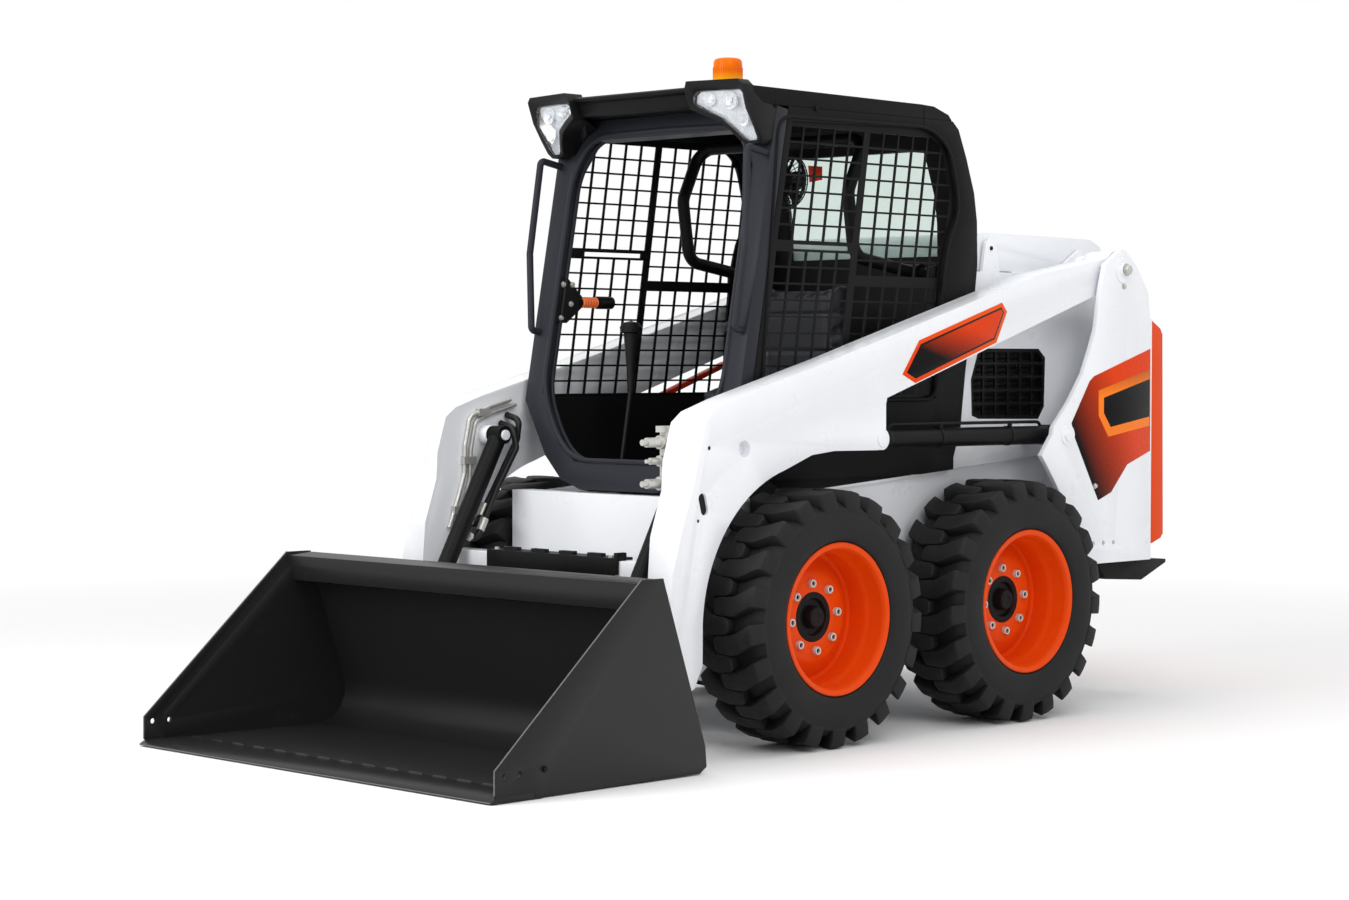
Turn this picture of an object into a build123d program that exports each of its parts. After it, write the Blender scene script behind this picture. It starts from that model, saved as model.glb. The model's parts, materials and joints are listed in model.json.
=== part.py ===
"""Skid steer loader with a cab, two lift arms and a bucket.

Millimetres. +X forward, +Y left, +Z up, origin on the ground under the middle of the machine.
Every outline below is given as (x, z): x forward of mid-wheelbase, z above the ground.
"""
import os
from math import atan, atan2, cos, hypot, pi, radians, sin, sqrt, tan

from build123d import *

os.makedirs("parts", exist_ok=True)

# ---------------------------------------------------------------- overall
EDGE_X = 1890.0          # bucket's cutting edge, forward of mid-wheelbase
REAR_X = -1372.0         # rear bumper
MID_X = -(EDGE_X + REAR_X) / 2
SIDES = (("left", 1), ("right", -1))
PIN_FIT = 0.05           # radial clearance of a pin in its bore
SEAT_GAP = 0.3           # running gap beside a turning piece
SHEET = 12.0             # chassis plate

# ---------------------------------------------------------------- wheels
WHEELBASE = 902.0
TYRE_R = 386.0
TYRE_WIDTH = 264.0
WHEEL_Y = 590.0          # middle of the tyre
BEAD_R = 209.0
FLANGE_R = 228.0
FLANGE_Y = 122.0         # rim flange, outward of the tyre's middle
DISC_Y = 15.0            # wheel disc's outer face, outward of the tyre's middle
DISC_THICK = 10.0
HUB_R = 75.0
LUGS = 21                # on each shoulder, one side set half a pitch on
LUG_REACH = 40.0         # furthest corner of a lug along the tread
CROWN_R = TYRE_R - 32
CROWN_Y = TYRE_WIDTH / 2 - 20
SHOULDER_R = TYRE_R - 86
AXLE_R = 60.0
AXLE_X = WHEELBASE / 2

# ---------------------------------------------------------------- chassis
HULL_Y = 440.0           # outer face of the chassis side
GROUND_CLEARANCE = 187.0
FRONT_X = 720.0
FRAME_REAR_X = -1180.0
FRONT_TOP_Z = 740.0
LEDGE_X = 590.0          # the ledge over the wheels falls towards the front
LEDGE_Z = 734.0
LEDGE_SLOPE = 0.0707
LEDGE_WIDTH = 12.0
FOOT_Z = 560.0
DECK_Z = 745.0

# ---------------------------------------------------------------- uprights
BODY_SIDE_OUT = HULL_Y + SHEET
UPRIGHT_IN = 612.0
UPRIGHT_OUT = 630.0
UPRIGHT_REAR = -1219.0
UPRIGHT_BOTTOM = 478.0
LIFT_PIN = (-1056.0, 1453.0)
LIFT_PIN_R = 25.0
BASE_PIN = (-755.0, 907.0)
BASE_PIN_R = 20.0
COVER_HINGE = (-575.0, 1517.0)
TAILGATE_HINGE = (-1232.0, -612.0)
TAILGATE_HINGE_Z = (640.0, 1170.0)
KNUCKLE = 36.0           # height of a tailgate knuckle
COVER_OUT = 434.0        # engine cover, between the sides of the engine bay
COVER_SIDE_Z = 1442.7    # rail that the engine cover lies on

# ---------------------------------------------------------------- lift arms
ARM_IN = 500.0
ARM_OUT = 600.0
ARM_MID = (ARM_IN + ARM_OUT) / 2
ARM_GAP = 6.0            # beside the arms, inside the uprights and mount ears
CLEVIS = (132.0, 910.0)
CLEVIS_WALL = 15.0
HINGE = (1040.0, 215.0)  # bucket hinge
HINGE_R = 20.0
TILT_TOP = (785.0, 915.0)
TILT_FOOT = (1080.0, 375.0)
TILT_Y = 430.0
TILT_PIN_R = 16.0

# ---------------------------------------------------------------- cylinders
LIFT_BORE_R = 25.0
LIFT_BARREL_R = 30.0
LIFT_ROD_R = 17.5
LIFT_EYE_R = 33.0
LIFT_PISTON_AT = 70.0
TILT_BORE_R = 23.0
TILT_BARREL_R = 28.0
TILT_ROD_R = 15.0
TILT_EYE_R = 28.0
TILT_PISTON_AT = 150.0
TILT_CLOSED_BY = 70.0    # how much shorter the tilt cylinder gets when the bucket curls
EYE_WIDTH = 50.0
PISTON = 20.0
GLAND = 25.0

# ---------------------------------------------------------------- cab
CAB_OUT = 474.0
CAB_IN = 440.0
LEAN = 10.5              # front frame leans back, degrees
FRAME_THICK = 50.0
FACE_X = 632.0           # front face of the cab at FACE_Z
FACE_Z = 1042.0
ROOF_Z = 1968.0
ROOF_LINE = 1915.0       # where the roof meets the sides
ROOF_FRONT = 606.0
BEACON = (530.0, 324.0)
BEACON_R = 45.0
BEACON_TALL = 94.0

# ---------------------------------------------------------------- bucket
BUCKET_OUT = 793.0
BUCKET_SIDE = 12.0
BUCKET_PLATE = 10.0
BUCKET_LIFT = 3.0        # the bucket hangs this far over the ground
EDGE_DEPTH = 150.0
EDGE_THICK = 16.0
MOUNT_PLATE = 16.0


# ---------------------------------------------------------------- planes and simple forms
def side(y):
    """Upright plane along the machine: sketch x runs forward, sketch y runs up."""
    return Plane(origin=(MID_X, y, 0), x_dir=(1, 0, 0), z_dir=(0, -1, 0))


def level(z):
    """Flat plane: sketch x runs forward, sketch y runs left."""
    return Plane(origin=(MID_X, 0, z))


def across(x):
    """Upright plane across the machine: sketch x runs left, sketch y runs up."""
    return Plane(origin=(MID_X + x, 0, 0), x_dir=(0, 1, 0), z_dir=(1, 0, 0))


def at(x, y, z):
    return Vector(MID_X + x, y, z)


def plate(outline, y_from, y_to, mode=Mode.ADD, round_by=0):
    """Side outline, extruded from one width to another."""
    with BuildSketch(side(y_from)) as face:
        with BuildLine():
            Polyline(*outline, close=True)
        make_face()
        if round_by:
            fillet(face.vertices(), round_by)
    extrude(face.sketch, amount=y_from - y_to, mode=mode)


def pin(centre, radius, y_from, y_to, mode=Mode.ADD):
    """Round pin or bore across the machine."""
    with BuildSketch(side(y_from)) as face:
        with Locations(centre):
            Circle(radius)
    extrude(face.sketch, amount=y_from - y_to, mode=mode)


def upright_pin(centre, radius, z_from, z_to, mode=Mode.ADD):
    with BuildSketch(level(z_from)) as face:
        with Locations(centre):
            Circle(radius)
    extrude(face.sketch, amount=z_to - z_from, mode=mode)


def front_shape(outlines, x_from, x_to, mode=Mode.ADD):
    """Outlines of (left, up), extruded along the machine."""
    with BuildSketch(across(x_from)) as face:
        for outline in outlines:
            with BuildLine():
                Polyline(*outline, close=True)
            make_face()
    extrude(face.sketch, amount=x_to - x_from, mode=mode)


def round_along(centre, radius, x_from, x_to, mode=Mode.ADD):
    """Round bar or bore along the machine, centred at (left, up)."""
    with BuildSketch(across(x_from)) as face:
        with Locations(centre):
            Circle(radius)
    extrude(face.sketch, amount=x_to - x_from, mode=mode)


def block(x_range, y_range, z_range, mode=Mode.ADD):
    with BuildSketch(level(z_range[0])) as face:
        with Locations((sum(x_range) / 2, sum(y_range) / 2)):
            Rectangle(abs(x_range[1] - x_range[0]), abs(y_range[1] - y_range[0]))
    extrude(face.sketch, amount=z_range[1] - z_range[0], mode=mode)


def tube(points, radius, bend):
    """Bent round tube through the points."""
    with BuildLine() as path:
        FilletPolyline(*points, radius=bend)
    with BuildSketch(Plane(origin=path.line @ 0, z_dir=path.line % 0)) as section:
        Circle(radius)
    sweep(section.sketch, path=path.line)


def save(piece, name):
    piece.part.label = name
    export_step(piece.part, f"parts/{name}.step")


def ledge(x):
    """Height of the ledge over the wheels."""
    return LEDGE_Z + (LEDGE_X - x) * LEDGE_SLOPE


def face_x(z):
    """Front face of the leaning cab front."""
    return FACE_X - tan(radians(LEAN)) * (z - FACE_Z)


# ---------------------------------------------------------------- wheels
def rim_section():
    lip = FLANGE_Y - 8
    back = DISC_Y - DISC_THICK
    return [
        (FLANGE_Y, FLANGE_R), (lip, FLANGE_R), (lip - 2, BEAD_R), (2 - lip, BEAD_R),
        (-lip, FLANGE_R), (-FLANGE_Y, FLANGE_R), (-FLANGE_Y, BEAD_R + 3),
        (-FLANGE_Y + 16, BEAD_R - 8), (back, BEAD_R - 8), (back, HUB_R), (DISC_Y, HUB_R),
        (DISC_Y, BEAD_R - 14), (DISC_Y + 45, BEAD_R - 12), (DISC_Y + 58, BEAD_R - 6),
        (lip - 4, BEAD_R - 4), (FLANGE_Y, BEAD_R + 3),
    ]


def hub_section():
    back = DISC_Y - DISC_THICK
    return [
        (back, 0), (back, HUB_R), (DISC_Y + 1, HUB_R), (DISC_Y + 1, HUB_R - 20), (back + 3, HUB_R - 23),
        (back + 3, HUB_R - 40), (DISC_Y + 14, HUB_R - 45), (DISC_Y + 22, HUB_R - 50), (DISC_Y + 22, 0),
    ]


def wheel_plane():
    """Sketch x runs outward from the tyre's middle, sketch y runs away from the axle."""
    return Plane(origin=(0, 0, 0), x_dir=(0, 1, 0), z_dir=(1, 0, 0))


def turned(section, mode=Mode.ADD):
    """Section of (outward, away from the axle), turned about the axle."""
    with BuildSketch(wheel_plane()) as face:
        with BuildLine():
            Polyline(*section, close=True)
        make_face()
    revolve(face.sketch, axis=Axis.Y, mode=mode)


def ring(y, radius):
    """Polygon round the axle, one side for each lug, its flats at the given radius."""
    with BuildSketch(Plane.XZ.offset(-y)) as face:
        RegularPolygon(radius / cos(pi / LUGS), LUGS)
    return face.sketch


def tread_lug(s, turn):
    """Lug on one shoulder, its inner end past the middle and its shoulder end swept on."""
    tip = TYRE_R / cos(pi / 2 / LUGS)        # two lugs, one a side, stand on the ground together
    top = sqrt(tip**2 - LUG_REACH**2)
    angle = turn - pi / 2 + pi / 2 / LUGS - atan(LUG_REACH / top)
    root = CROWN_R - 14
    way = (cos(angle), 0, sin(angle))
    outline = [(-22, -36), (TYRE_WIDTH / 2 - 10, 0), (TYRE_WIDTH / 2 - 10, LUG_REACH), (-22, 4)]
    with BuildSketch(Plane(origin=Vector(*way) * root, x_dir=(0, 1, 0), z_dir=way)) as face:
        with BuildLine():
            Polyline(*[(s * y, t) for y, t in outline], close=True)
        make_face()
    extrude(face.sketch, amount=top - root)


with BuildPart() as tyre:
    extrude(ring(-CROWN_Y, CROWN_R), amount=-2 * CROWN_Y)
    for s in (1, -1):
        loft([ring(s * CROWN_Y, CROWN_R), ring(s * TYRE_WIDTH / 2, SHOULDER_R)], ruled=True)
    turned([(-TYRE_WIDTH, 0), (-TYRE_WIDTH, BEAD_R), (TYRE_WIDTH, BEAD_R), (TYRE_WIDTH, 0)], mode=Mode.SUBTRACT)
    for s in (1, -1):
        seat = [(FLANGE_Y - 10, BEAD_R - 5), (FLANGE_Y - 10, FLANGE_R + 4), (TYRE_WIDTH / 2, FLANGE_R + 29),
                (TYRE_WIDTH / 2, BEAD_R - 5)]
        turned([(s * y, r) for y, r in seat], mode=Mode.SUBTRACT)
        for lug in range(LUGS):
            tread_lug(s, (lug + (0 if s > 0 else 0.5)) * 2 * pi / LUGS)
with BuildPart() as rim:
    turned(rim_section())
with BuildPart() as hub:
    turned(hub_section())

for end, axle_x in (("front", AXLE_X), ("rear", -AXLE_X)):
    for name, s in SIDES:
        for label, piece in (("tyre", tyre), ("rim", rim), ("hub", hub)):
            with BuildPart() as wheel_piece:
                solid = piece.part if s > 0 else mirror(piece.part, about=Plane.XZ, mode=Mode.PRIVATE)
                add(solid.moved(Location(at(axle_x, s * WHEEL_Y, TYRE_R))))
            save(wheel_piece, f"{label}_{end}_{name}")

# ---------------------------------------------------------------- chassis
frame_outline = [
    (FRONT_X, FRONT_TOP_Z), (FRONT_X, 300), (FRONT_X - 80, GROUND_CLEARANCE),
    (-950, GROUND_CLEARANCE), (FRAME_REAR_X, 420), (FRAME_REAR_X, ledge(FRAME_REAR_X)),
    (FRONT_X - 80, ledge(FRONT_X - 80)), (FRONT_X - 80, FRONT_TOP_Z),
]
frame_inside = [
    (FRONT_X - SHEET, FRONT_TOP_Z - SHEET), (FRONT_X - SHEET, 304), (FRONT_X - 85, GROUND_CLEARANCE + SHEET),
    (-944, GROUND_CLEARANCE + SHEET), (FRAME_REAR_X + SHEET, 426), (FRAME_REAR_X + SHEET, 1000),
    (FRONT_X - 90, 1000), (FRONT_X - 90, FRONT_TOP_Z - SHEET),
]
with BuildPart() as main_frame:
    plate(frame_outline, HULL_Y, -HULL_Y)
    plate(frame_inside, HULL_Y - SHEET, SHEET - HULL_Y, mode=Mode.SUBTRACT)
    for name, s in SIDES:
        shelf = [(700, ledge(700)), (-360, ledge(-360)), (-360, ledge(-360) - 10), (700, ledge(700) - 10)]
        plate(shelf, s * (HULL_Y + LEDGE_WIDTH), s * HULL_Y)
save(main_frame, "main_frame")

with BuildPart() as axle_hubs:
    disc_back = WHEEL_Y + DISC_Y - DISC_THICK - SEAT_GAP
    for axle_x in (AXLE_X, -AXLE_X):
        for name, s in SIDES:
            pin((axle_x, TYRE_R), AXLE_R, s * HULL_Y, s * disc_back)
            pin((axle_x, TYRE_R), HUB_R + 15, s * (disc_back - 30), s * disc_back)
save(axle_hubs, "axle_hubs")

with BuildPart() as cab_floor:
    floor_outline = [
        (FRONT_X - SHEET, FOOT_Z), (240, FOOT_Z), (240, DECK_Z), (-430, DECK_Z),
        (-430, DECK_Z + SHEET), (252, DECK_Z + SHEET), (252, FOOT_Z + SHEET), (FRONT_X - SHEET, FOOT_Z + SHEET),
    ]
    plate(floor_outline, HULL_Y - SHEET, SHEET - HULL_Y)
    block((-310, 120), (-250, 250), (DECK_Z + SHEET, 960))
    block((-298, 108), (-238, 238), (DECK_Z + SHEET, 948), mode=Mode.SUBTRACT)
save(cab_floor, "cab_floor")

with BuildPart() as engine_block:
    engine_outline = [
        (-1140, 410), (-938, GROUND_CLEARANCE + SHEET), (-540, GROUND_CLEARANCE + SHEET), (-540, 780), (-1140, 780),
    ]
    plate(engine_outline, 230, -230)
save(engine_block, "engine_block")

bumper_outline = [
    (-977, UPRIGHT_BOTTOM), (-1225, UPRIGHT_BOTTOM), (REAR_X, 470), (REAR_X, 458), (-1232, 405), (-1027, 418),
]
with BuildPart() as rear_bumper:
    plate(bumper_outline, 585, -585)
    block((-900, FRAME_REAR_X), (-HULL_Y, HULL_Y), (380, 500), mode=Mode.SUBTRACT)
save(rear_bumper, "rear_bumper")

# ---------------------------------------------------------------- uprights with the engine bay sides
GRILLE = [(-479, 972), (-474, 1089), (-514, 1190), (-830, 1190), (-866, 1160), (-861, 997), (-830, 956), (-514, 961)]
body_side = [
    (-366, ledge(-366)), (-366, 840), (-400, 930), (-425, 1120), (-467, 1340), (-484, 1440), (-530, 1440),
    (-548, 1535), (-575, 1548), (-602, 1535), (-620, 1440), (-950, 1440), (-957, 1470), (-1047, 1524),
    (-1065, 1520), (-1129, 1470), (-1196, 1380), (-1208, 1299), (UPRIGHT_REAR, UPRIGHT_BOTTOM),
    (-900, UPRIGHT_BOTTOM), (-870, ledge(-870)),
]
for name, s in SIDES:
    with BuildPart() as upright:
        with BuildSketch(side(s * UPRIGHT_OUT)) as face:
            with BuildLine():
                Polyline(
                    (-741, 686), (-723, 712), (-686, 762), (-642, 817), (-619, 843), (-677, 911), (-682, 934),
                    (-768, 1019), (-840, 1109), (-885, 1200), (-908, 1254), (-934, 1393), (-957, 1470),
                    (-1047, 1524), (-1065, 1520), (-1129, 1470), (-1196, 1380), (-1208, 1299),
                    (UPRIGHT_REAR, UPRIGHT_BOTTOM), (-866, UPRIGHT_BOTTOM),
                )
                ThreePointArc((-866, UPRIGHT_BOTTOM), (-820, 590), (-741, 686))
            make_face()
        extrude(face.sketch, amount=s * (UPRIGHT_OUT - UPRIGHT_IN))
        plate(body_side, s * BODY_SIDE_OUT, s * HULL_Y)
        plate(GRILLE, s * BODY_SIDE_OUT, s * HULL_Y, mode=Mode.SUBTRACT)
        block((UPRIGHT_REAR, UPRIGHT_REAR + SHEET), (s * HULL_Y, s * UPRIGHT_OUT), (UPRIGHT_BOTTOM, 1290))
        block((UPRIGHT_REAR, -900), (s * HULL_Y, s * UPRIGHT_OUT), (UPRIGHT_BOTTOM, UPRIGHT_BOTTOM + SHEET))
        rail = [(-700, 1431), (-700, COVER_SIDE_Z), (-1120, COVER_SIDE_Z), (-1120, 1431)]
        plate(rail, s * HULL_Y, s * (COVER_OUT - SHEET))
        pin(COVER_HINGE, 10, s * HULL_Y, s * (COVER_OUT - SHEET - 4))
        pin(LIFT_PIN, 50, s * HULL_Y, s * (ARM_IN - ARM_GAP))
        pin(LIFT_PIN, 45, s * (ARM_OUT + ARM_GAP), s * (UPRIGHT_OUT + 4))
        pin(LIFT_PIN, LIFT_PIN_R, s * HULL_Y, s * (UPRIGHT_OUT + 12))
        pin(BASE_PIN, 34, s * HULL_Y, s * (ARM_MID - LIFT_BARREL_R - 1 - SEAT_GAP))
        pin(BASE_PIN, 34, s * (ARM_MID + LIFT_BARREL_R + 1 + SEAT_GAP), s * (UPRIGHT_OUT + 4))
        pin(BASE_PIN, BASE_PIN_R, s * HULL_Y, s * (UPRIGHT_OUT + 10))
        if name == "right":
            for z in TAILGATE_HINGE_Z:
                block((TAILGATE_HINGE[0], UPRIGHT_REAR), (-621, -604), (z - SHEET, z))
                upright_pin(TAILGATE_HINGE, 9, z - SHEET, z)
                upright_pin(TAILGATE_HINGE, 6, z, z + KNUCKLE + 4)
        for hole_x in (-898, -954, -1010):
            pin((hole_x, 545), 8, s * UPRIGHT_OUT, s * UPRIGHT_IN, mode=Mode.SUBTRACT)
    save(upright, f"upright_{name}")



def punched(edge, margin, y_from, y_to, cells):
    """Holes of (rear edge, bottom, width, height, lean) through a plate, kept inside its edge."""
    with BuildSketch(side(y_from)) as holes:
        for x, z, width, height, lean in cells:
            shift = height * lean
            with BuildLine():
                Polyline((x, z), (x + width, z), (x + width - shift, z + height), (x - shift, z + height), close=True)
            make_face()
        with BuildSketch(mode=Mode.PRIVATE) as inside:
            with BuildLine():
                Polyline(*edge, close=True)
            make_face()
            offset(amount=-margin, kind=Kind.INTERSECTION, mode=Mode.REPLACE)
        add(inside.sketch, mode=Mode.INTERSECT)
    whole = Sketch() + [hole for hole in holes.sketch.faces() if hole.area > 500]
    extrude(whole, amount=y_from - y_to, dir=(0, -1, 0), mode=Mode.SUBTRACT)


# columns: rear edge, bottom, width, height, lean
grille_cells = [(-856 + 64 * column, 970 + 44 * row, 54, 35, 0) for column in range(6) for row in range(5)]
with BuildPart() as side_grilles:
    for name, s in SIDES:
        y_out, y_in = s * (BODY_SIDE_OUT - 2), s * (HULL_Y + 2)
        plate(GRILLE, y_out, y_in)
        punched(GRILLE, 12, y_out, y_in, grille_cells)
save(side_grilles, "side_grilles")

# ---------------------------------------------------------------- covers
cover_outline = [
    (-490, 1443), (-500, 1520), (-530, 1562), (-560, 1568), (-1130, 1562), (-1185, 1540),
    (-1255, 1440), (-1275, 1310), (-1263, 1305), (-1222, 1305), (-1210, 1383), (-1143, 1443),
]
cover_inside = [
    (-502, 1400), (-511, 1516), (-536, 1551), (-562, 1556), (-1128, 1550), (-1178, 1530),
    (-1243, 1436), (-1262, 1312), (-1262, 1200),
]
with BuildPart() as engine_cover:
    plate(cover_outline, COVER_OUT, -COVER_OUT)
    plate(cover_inside, COVER_OUT - SHEET, SHEET - COVER_OUT, mode=Mode.SUBTRACT)
    pin(COVER_HINGE, 10 + PIN_FIT, COVER_OUT, -COVER_OUT, mode=Mode.SUBTRACT)
    for slot in range(8):
        x = -1060 + 50 * slot
        block((x, x + 18), (-250, 250), (1540, 1600), mode=Mode.SUBTRACT)
save(engine_cover, "engine_cover")



def tailgate_x(z):
    """Outer face of the tailgate at a height."""
    return -1332 + (z - 560) * 10 / 680


with BuildPart() as tailgate:
    door = [(-1224, 1288), (-1249, 1294), (-1310, 1260), (-1322, 1240), (-1332, 560), (-1318, 545), (-1269, 529), (-1224, 529)]
    plate(door, 600, -600)
    door_inside = [(-1200, 1276), (-1246, 1282), (-1300, 1250), (-1310, 1234), (-1320, 566), (-1312, 556), (-1266, 541), (-1200, 541)]
    plate(door_inside, 588, -588, mode=Mode.SUBTRACT)
    for slot in range(9):
        z = 690 + 34 * slot
        block((-1345, -1305), (-330, 330), (z, z + 14), mode=Mode.SUBTRACT)
    block((-1350, -1326), (505, 545), (850, 950))
    for z in TAILGATE_HINGE_Z:
        upright_pin(TAILGATE_HINGE, 11, z + SEAT_GAP, z + KNUCKLE)
        block((TAILGATE_HINGE[0] - 8, TAILGATE_HINGE[0] + 6), (-610, -600), (z + SEAT_GAP, z + KNUCKLE))
        upright_pin(TAILGATE_HINGE, 6 + PIN_FIT, z, z + KNUCKLE, mode=Mode.SUBTRACT)
save(tailgate, "tailgate")

with BuildPart() as tail_lamps:
    for name, s in SIDES:
        lamp = [(-1338, 1085), (tailgate_x(1085), 1085), (tailgate_x(1155), 1155), (-1338, 1155)]
        plate(lamp, s * 450, s * 550)
save(tail_lamps, "tail_lamps")


# ---------------------------------------------------------------- lift arms
ARM_TAPER = 45.0         # how far the outer face stands back at the front corner


def arm_corner(y, back):
    """Room in front of the arm's upper front corner, set back by so much at its deepest."""
    with BuildSketch(side(y)) as face:
        with BuildLine():
            Polyline(
                (1037, 540), (1029 - back * 0.5, 645), (984 - back * 0.6, 779), (979 - back, 864),
                (945 - back * 0.9, 973), (905 - back * 0.6, 1003), (905, 1080), (1100, 1080), (1100, 540), close=True,
            )
        make_face()
    return face.sketch


for name, s in SIDES:
    with BuildPart() as lift_arm:
        with BuildSketch(side(s * ARM_OUT)) as face:
            with BuildLine():
                Polyline(
                    (914, 389), (914, 274), (946, 212), (1005, 176), (1040, 163), (1092, 215), (1047, 330),
                    (1037, 540), (1029, 645), (984, 779), (979, 864), (945, 973), (905, 1003), (797, 1038),
                    (350, 1155), (-146, 1294), (-642, 1431), (-989, 1489), (-1056, 1518), (-1121, 1453),
                    (-1056, 1388), (-964, 1373), (110, 1036), (115, 1018), (115, 927), (99, 910), (115, 881),
                    (152, 877), (350, 879), (450, 869), (569, 827),
                )
                ThreePointArc((569, 827), (774, 709), (914, 389))
            make_face()
            with Locations(LIFT_PIN):
                Circle(65)
            with Locations(HINGE):
                Circle(52)
            with Locations(CLEVIS):
                Circle(33)
        extrude(face.sketch, amount=s * (ARM_OUT - ARM_IN))
        pocket = [(60, 780), (178, 780), (178, 952), (60, 952)]
        plate(pocket, s * (ARM_OUT - CLEVIS_WALL), s * (ARM_IN + CLEVIS_WALL), mode=Mode.SUBTRACT)
        pin(LIFT_PIN, LIFT_PIN_R + PIN_FIT, s * ARM_OUT, s * ARM_IN, mode=Mode.SUBTRACT)
        pin(HINGE, HINGE_R + PIN_FIT, s * ARM_OUT, s * ARM_IN, mode=Mode.SUBTRACT)
        loft([arm_corner(s * ARM_IN, 0), arm_corner(s * ARM_OUT, ARM_TAPER)], ruled=True, mode=Mode.SUBTRACT)
        for centre, radius in (((742, 894), 24), ((888, 899), 6), ((933, 691), 5)):
            pin(centre, radius, s * ARM_OUT, s * (ARM_OUT - 30), mode=Mode.SUBTRACT)
        with BuildSketch(side(s * ARM_OUT)) as face:
            with Locations(Location((912, 738, 0), (0, 0, 75))):
                SlotOverall(65, 30)
        extrude(face.sketch, amount=s * 40, mode=Mode.SUBTRACT)
        pin(TILT_TOP, TILT_PIN_R, s * ARM_IN, s * (TILT_Y - TILT_BARREL_R - 8))
        pin(TILT_TOP, 30, s * ARM_IN, s * (TILT_Y + TILT_BARREL_R + 1 + SEAT_GAP))
        pin(CLEVIS, 24, s * ARM_OUT, s * (ARM_OUT + 5))
    save(lift_arm, f"lift_arm_{name}")

with BuildPart() as cross_tube:
    block((865, 935), (-ARM_IN, ARM_IN), (495, 560))
    block((871, 929), (-ARM_IN, ARM_IN), (501, 554), mode=Mode.SUBTRACT)
save(cross_tube, "cross_tube")

with BuildPart() as arm_step:
    block((865, 945), (-306, 261), (560, 568))
    block((937, 945), (-306, 261), (505, 560))
    for tab in range(4):
        y = -250 + 125 * tab
        block((905, 925), (y, y + 62), (568, 578))
    block((905, 945), (261, 276), (560, 584))
    block((937, 945), (261, 276), (520, 560))
save(arm_step, "arm_step")

COUPLER_Y = 478.0
COUPLER_X = 972.0        # where a coupler's own barrel starts
# columns: height, barrel radius, barrel length, tip radius, tip length
COUPLERS = ((915.0, 14.0, 50.0, 9.0, 18.0), (861.0, 10.0, 36.0, 6.0, 16.0), (796.0, 14.0, 50.0, 9.0, 18.0))
TUBE_R = 7.0
# columns: forward, up, of the pair of tubes on the right arm's inner face
TUBE_ROUTE = ((684, 1024), (776, 1001), (853, 972), (873, 882), (876, 794), (893, 742), (938, 626))
with BuildPart() as arm_hydraulics:
    block((892, 955), (465, ARM_IN), (778, 962))
    block((925, 975), (468, 492), (944, 962))
    for z, radius, length, tip_r, tip in COUPLERS:
        round_along((COUPLER_Y, z), radius + 6, 955, COUPLER_X)
        round_along((COUPLER_Y, z), radius, COUPLER_X, COUPLER_X + length)
        round_along((COUPLER_Y, z), tip_r, COUPLER_X + length, COUPLER_X + length + tip)
    tube_y = TUBE_R + 3 - ARM_IN
    for inward in (0, 22):
        tube([at(x - inward, tube_y, z - inward * 0.7) for x, z in TUBE_ROUTE], TUBE_R, 24)
    for x, z in ((800, 985), (862, 835), (903, 680)):
        block((x - 28, x + 22), (-ARM_IN, 2 * TUBE_R + 6 - ARM_IN), (z - 12, z + 12))
save(arm_hydraulics, "arm_hydraulics")


# ---------------------------------------------------------------- hydraulic cylinders
def along(start, end, y, distance):
    """Plane square to the line from start to end, at a distance from start."""
    length = hypot(end[0] - start[0], end[1] - start[1])
    way = ((end[0] - start[0]) / length, (end[1] - start[1]) / length)
    origin = at(start[0] + way[0] * distance, y, start[1] + way[1] * distance)
    return Plane(origin=origin, x_dir=(0, 1, 0), z_dir=(way[0], 0, way[1]))


def round_bar(start, end, y, radius, reach, mode=Mode.ADD):
    """Round bar on the line from start to end, over the given reach of distances."""
    with BuildSketch(along(start, end, y, reach[0])) as face:
        Circle(radius)
    extrude(face.sketch, amount=reach[1] - reach[0], mode=mode)


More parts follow.
